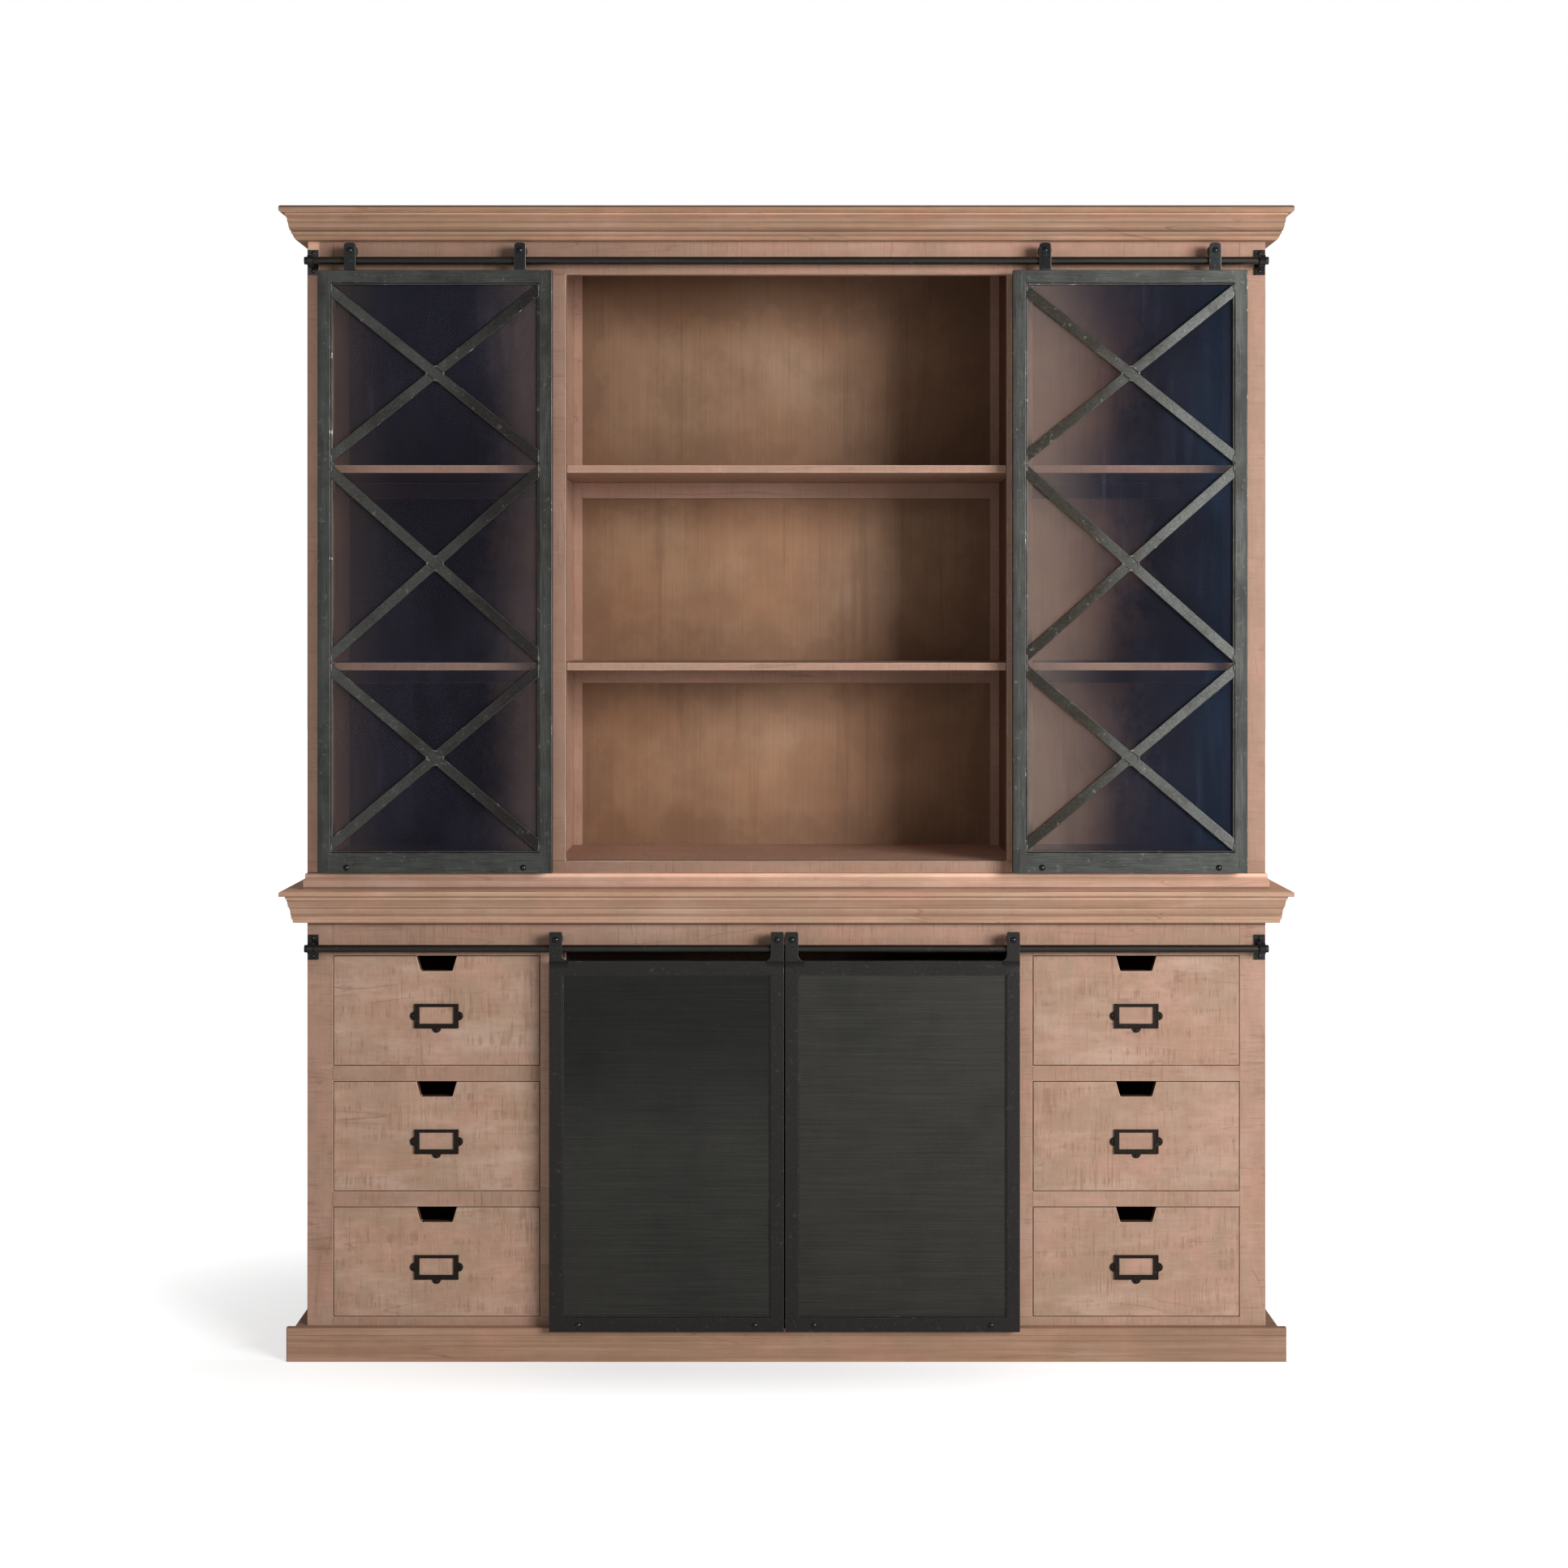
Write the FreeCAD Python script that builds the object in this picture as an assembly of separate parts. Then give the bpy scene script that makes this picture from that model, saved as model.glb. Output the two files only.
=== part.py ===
import FreeCAD, Part
import math
import os

# Dresser with a hutch: six drawers and a cupboard below, nine open shelf spaces above, and
# four steel doors that hang from wheels on two round rails.
# Millimetres. X runs along the front, Y from front to back, Z up.
# The origin is on the floor, under the middle of the whole outline.

# --- carcass, along X and Y ---
body_width = 2000.0
body_depth = 400.0
nose_projection = 50.0  # crown and worktop edge beyond the body, at the front and the sides
centre_opening = 920.0  # clear width of the middle bay, above and below
stile_width = 54.0
frame_thickness = 22.0  # face frame, front to back
panel_thickness = 20.0  # side panels and dividers
back_thickness = 10.0
back_recess = 8.0  # back panels stand in from the rear edge of the sides
joint_line = 0.1  # gap at each glued joint
full_turn = 360.0

# --- base cabinet, along Z ---
plinth_height = 70.0
plinth_front_projection = 20.0
plinth_side_projection = 24.0
plinth_timber = 45.0
plinth_ear_projection = 16.0  # the front timber's face runs on past the side timbers
plinth_ear_thickness = 16.0
plinth_corner_radius = 3.0
plinth_groove_drops = (15.0, 26.5)  # from the plinth's top edge to the grooves in its front
plinth_groove = 1.2
bottom_rail_height = 18.0
drawer_opening_height = 230.0
drawer_count = 3  # in each side bay
drawer_rail_height = 32.0
drawer_top_rail_height = 10.0
base_top_rail_height = 113.0
cupboard_shelf_thickness = 18.0
cupboard_shelf_height = 370.0  # above the cupboard's floor
cupboard_shelf_setback = 40.0

# --- worktop ---
worktop_edge_thickness = 10.0
worktop_core_thickness = 5.0
worktop_edge_step = 11.0  # the core stands in this far under the edge
worktop_edge_radius = 3.0
# moulding bands from the bottom up: height, projection at the bottom and at the top, bulge
worktop_bands = (
    (7.5, 24.5, 25.5, 0.6),
    (9.5, 27.0, 28.0, 0.9),
    (17.0, 29.5, 32.5, -0.9),
    (18.0, 34.0, 38.0, -1.2),
)

# --- hutch, along Z ---
hutch_base_foot_height = 20.0
hutch_base_foot_projection = 7.0
hutch_base_lip_height = 14.0
hutch_base_lip_projection = 4.0
hutch_base_radius = 3.0
hutch_bottom_rail_height = 26.0
hutch_opening_height = 1223.0
hutch_top_rail_height = 123.0
hutch_shelf_thickness = 16.0
hutch_shelf_rows = 2
hutch_shelf_setback = 8.0
shelf_clearance = 0.5
cleat_height = 35.0
cleat_thickness = 16.0
batten_width = 20.0
crown_cap_thickness = 14.0
crown_cap_radius = 4.5
crown_bands = (
    (13.0, 19.0, 25.5, 1.6),
    (6.0, 28.0, 28.0, 0.0),
    (17.0, 30.0, 33.5, 1.0),
    (11.0, 35.0, 37.0, -0.8),
    (7.0, 38.5, 38.5, 1.0),
)

# --- drawers ---
drawer_gap = 1.5  # around each drawer front
drawer_side_clearance = 6.0  # between the drawer box and its opening, each side
drawer_box_height = 180.0
drawer_rear_clearance = 15.0  # between a shut drawer and the back panel
drawer_wall = 12.0
drawer_bottom_thickness = 6.0
drawer_bottom_rise = 8.0
runner_height = 15.0
runner_bearing = 16.0  # width of runner under the drawer's side
running_gap = 0.3
notch_top_width = 84.0
notch_bottom_width = 66.0
notch_depth = 31.0

# --- label holder on each drawer front ---
label_width = 92.0
label_height = 51.0
label_thickness = 3.0
label_rim = 2.5
label_rim_rise = 1.2
label_side_bar = 10.5
label_top_bar = 6.5
label_bottom_bar = 9.5
label_ear_radius = 9.3
label_ear_thickness = 1.8
label_drop = 11.0  # centre of the holder below the centre of the drawer front
card_slot_depth = 1.0
card_slot_wall = 4.0
label_pin_head_radius = 3.0
label_pin_head_height = 1.4

# --- rails and their brackets ---
rail_radius = 8.0
rail_standoff = 28.0  # centre line of each rail in front of the body
lower_rail_rise = 8.0  # rail centre above the middle opening's top edge
upper_rail_rise = 25.0
bracket_inset = 13.0  # bracket centre in from the body's side
bracket_width = 22.0
bracket_height = 52.0
bracket_thickness = 4.0
bracket_eye_wall = 4.5
bracket_eye_length = 12.0
bracket_eye_clearance = 0.1
screw_spacing = 37.0
screw_radius = 2.5
screw_head_radius = 4.5
screw_head_height = 3.0

# --- doors ---
plinth_clearance = 2.0  # between the plinth's front and the doors that pass it
door_thickness = 20.0
door_stile = 27.0
lower_door_overlap = 26.0  # past the edge of the middle opening
lower_bottom_rail = 30.0
lower_top_rail = 27.0
lower_door_drop = 2.0  # hangs this far below the plinth's top
lower_door_hang = 24.0  # rail centre to the door's top edge
lower_meeting_x = -4.0  # where the lower doors meet, at rest
lower_meeting_gap = 3.0
panel_recess = 4.0
sheet_thickness = 2.0
upper_door_overlap = 27.0
upper_top_rail = 27.0
upper_bottom_rail = 43.0
upper_door_lift = 3.5  # hangs this far above the hutch base
upper_door_hang = 21.0
left_upper_rest = 2.0  # door centre to the right of its bay's centre, at rest
right_upper_rest = -18.0
glass_thickness = 4.0
glass_gap = 0.5
brace_width = 22.0
brace_thickness = 6.0
brace_recess = 1.0

# --- hangers, wheels and bolts ---
hanger_thickness = 5.0
upper_hanger_width = 25.0
upper_hanger_inset = 67.0
upper_hanger_radius = 8.0
lower_hanger_radius = 3.0
hanger_crown = 16.0  # above the wheel's axle
gusset_radius = 13.0
axle_rise = 20.0  # axle above the rail's centre line
axle_radius = 4.0
axle_clearance = 0.05
wheel_width = 14.0
wheel_lip = 1.2
bolt_head_radius = 6.5
bolt_head_height = 3.6
nut_radius = 7.0
nut_length = 4.0
nut_gap = 0.5
hex_sides = 6
guide_bolt_radius = 3.0
guide_bolt_inset = 60.0
lower_guide_rise = 14.0  # guide bolt above the door's bottom edge
upper_guide_rise = 12.0
guide_pad_radius = 7.0
guide_pad_clearance = 0.5

# --- places worked out from the sizes above ---
half_width = body_width / 2
half_centre = centre_opening / 2
side_opening = (body_width - centre_opening) / 2 - 2 * stile_width
bay_centre = half_centre + stile_width + side_opening / 2
divider_inner = half_centre + (stile_width - panel_thickness) / 2
divider_outer = divider_inner + panel_thickness
side_inner = half_width - panel_thickness
back_y = (body_depth + nose_projection) / 2
front_y = back_y - body_depth
frame_back_y = front_y + frame_thickness
back_panel_y = back_y - back_recess - back_thickness

base_floor_z = plinth_height + bottom_rail_height
drawer_pitch = drawer_opening_height + drawer_rail_height
drawers_top_z = base_floor_z + drawer_count * drawer_pitch - drawer_rail_height
base_opening_top_z = drawers_top_z + drawer_top_rail_height
base_top_z = base_opening_top_z + base_top_rail_height
worktop_z = base_top_z + worktop_core_thickness + worktop_edge_thickness
hutch_step_z = worktop_z + hutch_base_foot_height
hutch_foot_z = hutch_step_z + hutch_base_lip_height
hutch_floor_z = hutch_foot_z + hutch_bottom_rail_height
hutch_opening_top_z = hutch_floor_z + hutch_opening_height
hutch_top_z = hutch_opening_top_z + hutch_top_rail_height
total_height = hutch_top_z + crown_cap_thickness
shelf_space = (hutch_opening_height - hutch_shelf_rows * hutch_shelf_thickness) / (hutch_shelf_rows + 1)
shelf_bottoms = [
    hutch_floor_z + shelf_space + row * (shelf_space + hutch_shelf_thickness)
    for row in range(hutch_shelf_rows)
]

rail_y = front_y - rail_standoff
lower_rail_z = base_opening_top_z + lower_rail_rise
upper_rail_z = hutch_opening_top_z + upper_rail_rise
door_back_y = front_y - plinth_front_projection - plinth_clearance
door_front_y = door_back_y - door_thickness
lower_door_width = half_centre + lower_door_overlap
lower_door_bottom = plinth_height - lower_door_drop
lower_door_top = lower_rail_z - lower_door_hang
upper_door_width = side_opening + 2 * upper_door_overlap
upper_door_bottom = hutch_foot_z + upper_door_lift
upper_door_top = upper_rail_z - upper_door_hang
lower_door_centre = (lower_meeting_gap + lower_door_width) / 2

drawer_box_width = side_opening - 2 * drawer_side_clearance
drawer_front_width = side_opening - 2 * drawer_gap
drawer_front_height = drawer_opening_height - 2 * drawer_gap
side_names = {-1: "left", 1: "right"}
row_names = ["bottom", "middle", "top"]


def save(name, *solids):
    """Write one node: a single solid, or a group of solids that stay separate."""
    shape = solids[0] if len(solids) == 1 else Part.makeCompound(list(solids))
    shape.exportStep("parts/" + name + ".step")


def box(x0, x1, y0, y1, z0, z1):
    low_x, low_y, low_z = min(x0, x1), min(y0, y1), min(z0, z1)
    corner = FreeCAD.Vector(low_x, low_y, low_z)
    return Part.makeBox(abs(x1 - x0), abs(y1 - y0), abs(z1 - z0), corner)


def prism(points, y0, y1):
    """A solid with the outline given as (x, z) points, between two planes across Y."""
    corners = [FreeCAD.Vector(x, y0, z) for x, z in points]
    face = Part.Face(Part.makePolygon(corners + corners[:1]))
    return face.extrude(FreeCAD.Vector(0, y1 - y0, 0))


def rod_y(x, z, radius, y0, y1):
    """A round bar along Y."""
    low = min(y0, y1)
    return Part.makeCylinder(radius, abs(y1 - y0), FreeCAD.Vector(x, low, z), FreeCAD.Vector(0, 1, 0))


def dome_y(x, z, radius, height, y_base):
    """A domed head that rises from y_base towards the front, turned about its own axis."""
    sphere_radius = (radius * radius + height * height) / (2 * height)
    half_angle = math.asin(radius / sphere_radius) / 2
    tip = FreeCAD.Vector(x, y_base - height, z)
    rim = FreeCAD.Vector(x + radius, y_base, z)
    seat = FreeCAD.Vector(x, y_base, z)
    out = sphere_radius * math.sin(half_angle)
    down = sphere_radius * (1 - math.cos(half_angle))
    middle = FreeCAD.Vector(x + out, y_base - height + down, z)
    outline = [
        Part.Arc(tip, middle, rim).toShape(),
        Part.LineSegment(rim, seat).toShape(),
        Part.LineSegment(seat, tip).toShape(),
    ]
    return Part.Face(Part.Wire(outline)).revolve(seat, FreeCAD.Vector(0, 1, 0), full_turn)


# --- mouldings ---


def band_edges(bands, base_z):
    """The moulding's outline as (projection, height) edges, from the bottom up."""
    edges = []
    here = (0.0, base_z)
    z = base_z
    for height, low, high, bulge in bands:
        start, end = (low, z), (high, z + height)
        edges.append((here, None, start))
        middle = ((low + high) / 2 + bulge, z + height / 2)
        edges.append((start, middle if bulge else None, end))
        here = end
        z += height
    edges.append((here, None, (0.0, z)))
    edges.append(((0.0, z), None, (0.0, base_z)))
    return [e for e in edges if e[0] != e[2]]


def moulding_face(bands, base_z, place):
    """place turns (projection, height) into a point."""
    shapes = []
    for start, middle, end in band_edges(bands, base_z):
        if middle is None:
            shapes.append(Part.LineSegment(place(*start), place(*end)).toShape())
        else:
            shapes.append(Part.Arc(place(*start), place(*middle), place(*end)).toShape())
    return Part.Face(Part.Wire(shapes))


def mitre_wedge(side, reach, z0, z1, keep_front):
    """Covers the front's or the side's half of the corner beside one front edge of the body."""
    x, y = side * half_width, front_y
    outer = (x + side * reach, y - reach)
    third = (x, y - reach) if keep_front else (x + side * reach, y)
    points = [FreeCAD.Vector(px, py, z0) for px, py in ((x, y), outer, third)]
    face = Part.Face(Part.makePolygon(points + points[:1]))
    return face.extrude(FreeCAD.Vector(0, 0, z1 - z0))


def moulding(bands, top_z):
    """A front length and two returns, mitred at the front corners."""
    height = sum(band[0] for band in bands)
    base_z = top_z - height
    reach = nose_projection
    front = moulding_face(bands, base_z, lambda p, z: FreeCAD.Vector(-half_width - reach, front_y - p, z))
    front = front.extrude(FreeCAD.Vector(body_width + 2 * reach, 0, 0))
    pieces = []
    for side in (-1, 1):
        front = front.cut(mitre_wedge(side, reach, base_z, top_z, False))
    pieces.append(front)
    for side in (-1, 1):
        start_y = front_y - reach
        face = moulding_face(
            bands, base_z, lambda p, z: FreeCAD.Vector(side * (half_width + p), start_y, z)
        )
        run = face.extrude(FreeCAD.Vector(0, back_y - start_y, 0))
        run = run.cut(mitre_wedge(side, reach, base_z, top_z, True))
        run.translate(FreeCAD.Vector(0, joint_line, 0))
        outer = half_width + reach
        pieces.append(run.common(box(side * half_width, side * outer, start_y, back_y, base_z, top_z)))
    return pieces


# --- base cabinet ---


def plinth_front(outer, front):
    """The front timber. Its face runs on past the side timbers and has two fine grooves."""
    ear = outer + plinth_ear_projection
    face = box(-ear, ear, front, front + plinth_ear_thickness, 0, plinth_height)
    corners = [e for e in face.Edges if all(abs(v.Point.y - front) < joint_line for v in e.Vertexes)]
    corners = [e for e in corners if abs(e.Vertexes[0].Point.z - e.Vertexes[1].Point.z) > joint_line]
    face = face.makeFillet(plinth_corner_radius, corners)
    timber = face.fuse(box(-outer, outer, front, front + plinth_timber, 0, plinth_height))
    half = plinth_groove / 2
    for drop in plinth_groove_drops:
        z = plinth_height - drop
        timber = timber.cut(box(-ear, ear, front, front + plinth_groove, z - half, z + half))
    return timber.removeSplitter()


def plinth():
    outer = half_width + plinth_side_projection
    inner = half_width - plinth_timber
    front = front_y - plinth_front_projection
    pieces = [plinth_front(outer, front)]
    side_y = front + plinth_timber + joint_line
    for side in (-1, 1):
        pieces.append(box(side * inner, side * outer, side_y, back_y, 0, plinth_height))
    rear_x = inner - joint_line
    pieces.append(box(-rear_x, rear_x, back_y - plinth_timber, back_y, 0, plinth_height))
    return pieces


def side_panels(z0, z1):
    return [
        box(side * side_inner, side * half_width, frame_back_y, back_y, z0, z1)
        for side in (-1, 1)
    ]


def dividers(z0, z1):
    """Upright panels, each centred behind one of the inner stiles."""
    return [
        box(side * divider_inner, side * divider_outer, frame_back_y, back_panel_y, z0, z1)
        for side in (-1, 1)
    ]


def inside_board(z0, z1):
    """A board that fills the carcass between its side panels, face frame and back."""
    return box(-side_inner, side_inner, frame_back_y, back_panel_y, z0, z1)


def back_panel(z0, z1):
    return box(-side_inner, side_inner, back_panel_y, back_panel_y + back_thickness, z0, z1)


def frame_board(x0, x1, z0, z1):
    return box(x0, x1, front_y, frame_back_y, z0, z1)


def outer_stiles(z0, z1):
    edge = half_width - stile_width
    return [frame_board(side * edge, side * half_width, z0, z1) for side in (-1, 1)]


def inner_stiles(z0, z1):
    edge = half_centre + stile_width
    return [
        frame_board(side * half_centre, side * edge, z0 + joint_line, z1 - joint_line)
        for side in (-1, 1)
    ]


def long_rail(z0, z1):
    edge = half_width - stile_width - joint_line
    return frame_board(-edge, edge, z0, z1)


def base_face_frame():
    pieces = outer_stiles(plinth_height, base_top_z)
    pieces += inner_stiles(base_floor_z, base_opening_top_z)
    pieces.append(long_rail(plinth_height, base_floor_z))
    pieces.append(long_rail(base_opening_top_z, base_top_z))
    half = side_opening / 2 - joint_line
    for side in (-1, 1):
        for level in range(1, drawer_count):
            top = base_floor_z + level * drawer_pitch
            x = side * bay_centre
            pieces.append(frame_board(x - half, x + half, top - drawer_rail_height, top))
        top = base_opening_top_z - joint_line
        pieces.append(frame_board(side * bay_centre - half, side * bay_centre + half, drawers_top_z, top))
    return pieces


def cupboard_shelf():
    edge = divider_inner - shelf_clearance
    z = base_floor_z + cupboard_shelf_height
    front = frame_back_y + cupboard_shelf_setback
    return box(-edge, edge, front, back_panel_y, z, z + cupboard_shelf_thickness)


def shelf_supports():
    """Two bearers under the cupboard shelf, one on each divider."""
    top_z = base_floor_z + cupboard_shelf_height - joint_line
    low_z = top_z - cleat_thickness
    front = frame_back_y + cupboard_shelf_setback
    inner = divider_inner - cleat_thickness
    return [
        box(side * divider_inner, side * inner, front, back_panel_y, low_z, top_z)
        for side in (-1, 1)
    ]


def drawer_runners():
    """A bearer each side of each drawer, fixed to the side panel or to the divider."""
    pieces = []
    box_half = drawer_box_width / 2
    for side in (-1, 1):
        for level in range(drawer_count):
            z = base_floor_z + level * drawer_pitch
            for wall, edge in (
                (side_inner, bay_centre + box_half - runner_bearing),
                (divider_outer, bay_centre - box_half + runner_bearing),
            ):
                pieces.append(
                    box(side * edge, side * wall, frame_back_y, back_panel_y, z, z + runner_height)
                )
    return pieces


def drawer_front(x, floor_z):
    low_z, high_z = floor_z + drawer_gap, floor_z + drawer_gap + drawer_front_height
    half = drawer_front_width / 2
    notch_z = high_z - notch_depth
    outline = [
        (x - half, low_z),
        (x + half, low_z),
        (x + half, high_z),
        (x + notch_top_width / 2, high_z),
        (x + notch_bottom_width / 2, notch_z),
        (x - notch_bottom_width / 2, notch_z),
        (x - notch_top_width / 2, high_z),
        (x - half, high_z),
    ]
    return prism(outline, front_y, frame_back_y)


def drawer_box(x, floor_z):
    """Two sides, a back and a bottom behind the drawer front."""
    z0 = floor_z + runner_height + running_gap
    z1 = z0 + drawer_box_height
    half = drawer_box_width / 2
    y0 = frame_back_y
    y1 = back_panel_y - drawer_rear_clearance
    inner = half - drawer_wall
    fit = inner - joint_line
    pieces = [
        box(x - half, x - inner, y0, y1, z0, z1),
        box(x + inner, x + half, y0, y1, z0, z1),
        box(x - fit, x + fit, y1 - drawer_wall, y1, z0, z1),
    ]
    low_z = z0 + drawer_bottom_rise
    rear = y1 - drawer_wall - joint_line
    pieces.append(box(x - fit, x + fit, y0, rear, low_z, low_z + drawer_bottom_thickness))
    return pieces


def label_ears(x, z):
    """Places of the three fixing ears, round the outside of the holder."""
    return [
        (x - label_width / 2, z),
        (x + label_width / 2, z),
        (x, z - label_height / 2),
    ]


def label_holder(x, z):
    """A cast frame with a window, a slot behind it for a card, and three ears for pins."""
    half_w, half_h = label_width / 2, label_height / 2
    back = front_y
    front = back - label_thickness
    plate = box(x - half_w, x + half_w, back, front, z - half_h, z + half_h)
    rim = box(x - half_w, x + half_w, front, front - label_rim_rise, z - half_h, z + half_h)
    inner = box(
        x - half_w + label_rim,
        x + half_w - label_rim,
        front,
        front - label_rim_rise,
        z - half_h + label_rim,
        z + half_h - label_rim,
    )
    holder = plate.fuse(rim.cut(inner))
    for ear_x, ear_z in label_ears(x, z):
        holder = holder.fuse(rod_y(ear_x, ear_z, label_ear_radius, back, back - label_ear_thickness))
    window = box(
        x - half_w + label_side_bar,
        x + half_w - label_side_bar,
        back,
        front - label_rim_rise,
        z - half_h + label_bottom_bar,
        z + half_h - label_top_bar,
    )
    slot = box(
        x - half_w + card_slot_wall,
        x + half_w - card_slot_wall,
        back,
        back - card_slot_depth,
        z - half_h + card_slot_wall,
        z + half_h,
    )
    return holder.cut(window).cut(slot).removeSplitter()


def label_pins(x, z):
    """A round-headed pin in each ear."""
    pieces = []
    reach = label_ear_radius / 2
    for ear_x, ear_z in label_ears(x, z):
        out_x = ear_x + (0 if ear_x == x else math.copysign(reach, ear_x - x))
        out_z = ear_z - (reach if ear_x == x else 0)
        seat = front_y - label_ear_thickness
        pieces.append(dome_y(out_x, out_z, label_pin_head_radius, label_pin_head_height, seat))
    return pieces


# --- worktop and hutch ---


def rounded_board(outer, front, z0, z1, radius, top, bottom):
    """A board with its front and side edges rounded above, below or both."""
    board = box(-outer, outer, front, back_y, z0, z1)
    edges = []
    for edge in board.Edges:
        ends = [v.Point for v in edge.Vertexes]
        level = abs(ends[0].z - ends[1].z) < joint_line
        rear = all(abs(p.y - back_y) < joint_line for p in ends)
        high = ends[0].z > (z0 + z1) / 2
        if level and not rear and (top if high else bottom):
            edges.append(edge)
    return board.makeFillet(radius, edges)


def worktop():
    """A thin edge board that stands out over a thicker core."""
    outer = half_width + nose_projection
    core = outer - worktop_edge_step
    front = front_y - nose_projection
    core_z = base_top_z + worktop_core_thickness
    edge = rounded_board(outer, front, core_z, worktop_z, worktop_edge_radius, True, False)
    core_board = box(-core, core, front + worktop_edge_step, back_y, base_top_z, core_z)
    return edge.fuse(core_board).removeSplitter()


def hutch_base():
    """The board under the hutch, stepped, with a rounded upper edge."""
    foot = half_width + hutch_base_foot_projection
    foot_front = front_y - hutch_base_foot_projection
    lip = half_width + hutch_base_lip_projection
    lip_front = front_y - hutch_base_lip_projection
    top = rounded_board(lip, lip_front, hutch_step_z, hutch_foot_z, hutch_base_radius, True, False)
    return top.fuse(box(-foot, foot, foot_front, back_y, worktop_z, hutch_step_z)).removeSplitter()


def hutch_face_frame():
    pieces = outer_stiles(hutch_foot_z, hutch_top_z)
    pieces += inner_stiles(hutch_floor_z, hutch_opening_top_z)
    pieces.append(long_rail(hutch_foot_z, hutch_floor_z))
    pieces.append(long_rail(hutch_opening_top_z, hutch_top_z))
    return pieces


def bays():
    """The three bays of the hutch as (low x, high x) between their panels."""
    return [(-side_inner, -divider_outer), (-divider_inner, divider_inner), (divider_outer, side_inner)]


def batten(side, clearance, z0, z1):
    """The batten in one back corner of the middle bay, or a notch that clears it."""
    inner = divider_inner - batten_width - clearance
    front = back_panel_y - cleat_thickness - clearance
    return box(side * inner, side * divider_inner, front, back_panel_y, z0, z1)


def hutch_floor():
    """The bays' floors. The middle one is notched round the battens."""
    pieces = []
    for low, high in bays():
        x0, x1 = low + joint_line, high - joint_line
        floor = box(x0, x1, frame_back_y, back_panel_y, hutch_foot_z, hutch_floor_z)
        if low == -divider_inner:
            for side in (-1, 1):
                floor = floor.cut(batten(side, joint_line, hutch_foot_z, hutch_floor_z))
        pieces.append(floor)
    return pieces


def hutch_shelves():
    """Shelves in every bay. Each comes forward between the stiles of its bay's opening."""
    pieces = []
    front = front_y + hutch_shelf_setback
    openings = [-bay_centre, 0.0, bay_centre]
    halves = [side_opening / 2, half_centre, side_opening / 2]
    for (low, high), centre, half in zip(bays(), openings, halves):
        x0, x1 = low + shelf_clearance, high - shelf_clearance
        tongue = half - shelf_clearance
        for z in shelf_bottoms:
            top = z + hutch_shelf_thickness
            board = box(x0, x1, frame_back_y, back_panel_y, z, top)
            lip = box(centre - tongue, centre + tongue, front, frame_back_y, z, top)
            pieces.append(board.fuse(lip).removeSplitter())
    return pieces


def shelf_cleats():
    """A bearer on the back panel under each shelf, and battens in the middle bay's back corners."""
    pieces = []
    front = back_panel_y - cleat_thickness
    for low, high in bays():
        middle = low == -divider_inner
        end = batten_width + joint_line if middle else joint_line
        for z in shelf_bottoms:
            pieces.append(box(low + end, high - end, front, back_panel_y, z - cleat_height, z))
    lows = [hutch_foot_z] + [z + hutch_shelf_thickness for z in shelf_bottoms]
    highs = shelf_bottoms + [hutch_top_z]
    for side in (-1, 1):
        pieces += [batten(side, 0.0, z0, z1) for z0, z1 in zip(lows, highs)]
    return pieces


# --- rails, brackets and their screws ---


def rail(z):
    start = FreeCAD.Vector(-half_width, rail_y, z)
    return Part.makeCylinder(rail_radius, body_width, start, FreeCAD.Vector(1, 0, 0))


def bracket(x, z):
    """A plate on the stile with an eye that holds the rail."""
    half_w, half_h = bracket_width / 2, bracket_height / 2
    eye_radius = rail_radius + bracket_eye_wall
    plate = box(x - half_w, x + half_w, front_y, front_y - bracket_thickness, z - half_h, z + half_h)
    arm_half = bracket_eye_length / 2
    arm = box(x - arm_half, x + arm_half, front_y, rail_y, z - rail_radius, z + rail_radius)
    start = FreeCAD.Vector(x - arm_half, rail_y, z)
    eye = Part.makeCylinder(eye_radius, bracket_eye_length, start, FreeCAD.Vector(1, 0, 0))
    hole_start = FreeCAD.Vector(x - bracket_width, rail_y, z)
    hole_radius = rail_radius + bracket_eye_clearance
    hole = Part.makeCylinder(hole_radius, 2 * bracket_width, hole_start, FreeCAD.Vector(1, 0, 0))
    body = plate.fuse(arm).fuse(eye).cut(hole)
    for screw_z in screw_heights(z):
        body = body.cut(rod_y(x, screw_z, screw_radius, front_y, front_y - bracket_thickness))
    return body.removeSplitter()


def screw_heights(z):
    """One screw above the rail and one below it."""
    return [z - screw_spacing / 2, z + screw_spacing / 2]


def screw(x, z):
    """A dome-headed screw whose shank stops at the face of the wood."""
    seat = front_y - bracket_thickness
    shank = rod_y(x, z, screw_radius - joint_line, front_y, seat)
    return shank.fuse(dome_y(x, z, screw_head_radius, screw_head_height, seat)).removeSplitter()


def rail_brackets():
    pieces = []
    for z in (lower_rail_z, upper_rail_z):
        for x in (bracket_inset - half_width, half_width - bracket_inset):
            pieces.append(bracket(x, z))
            pieces += [screw(x, screw_z) for screw_z in screw_heights(z)]
    return pieces


# --- doors ---


def door_bars(x, width, z0, z1, bottom_rail, top_rail):
    """Two stiles and two rails. x is the centre of the door."""
    half = width / 2
    inner = half - door_stile
    rail_half = inner - joint_line
    return [
        box(x - half, x - inner, door_back_y, door_front_y, z0, z1),
        box(x + inner, x + half, door_back_y, door_front_y, z0, z1),
        box(x - rail_half, x + rail_half, door_back_y, door_front_y, z0, z0 + bottom_rail),
        box(x - rail_half, x + rail_half, door_back_y, door_front_y, z1 - top_rail, z1),
    ]


def drill(bars, holes):
    """Cut the same holes from every bar."""
    for hole in holes:
        bars = [bar.cut(hole) for bar in bars]
    return bars


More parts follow.
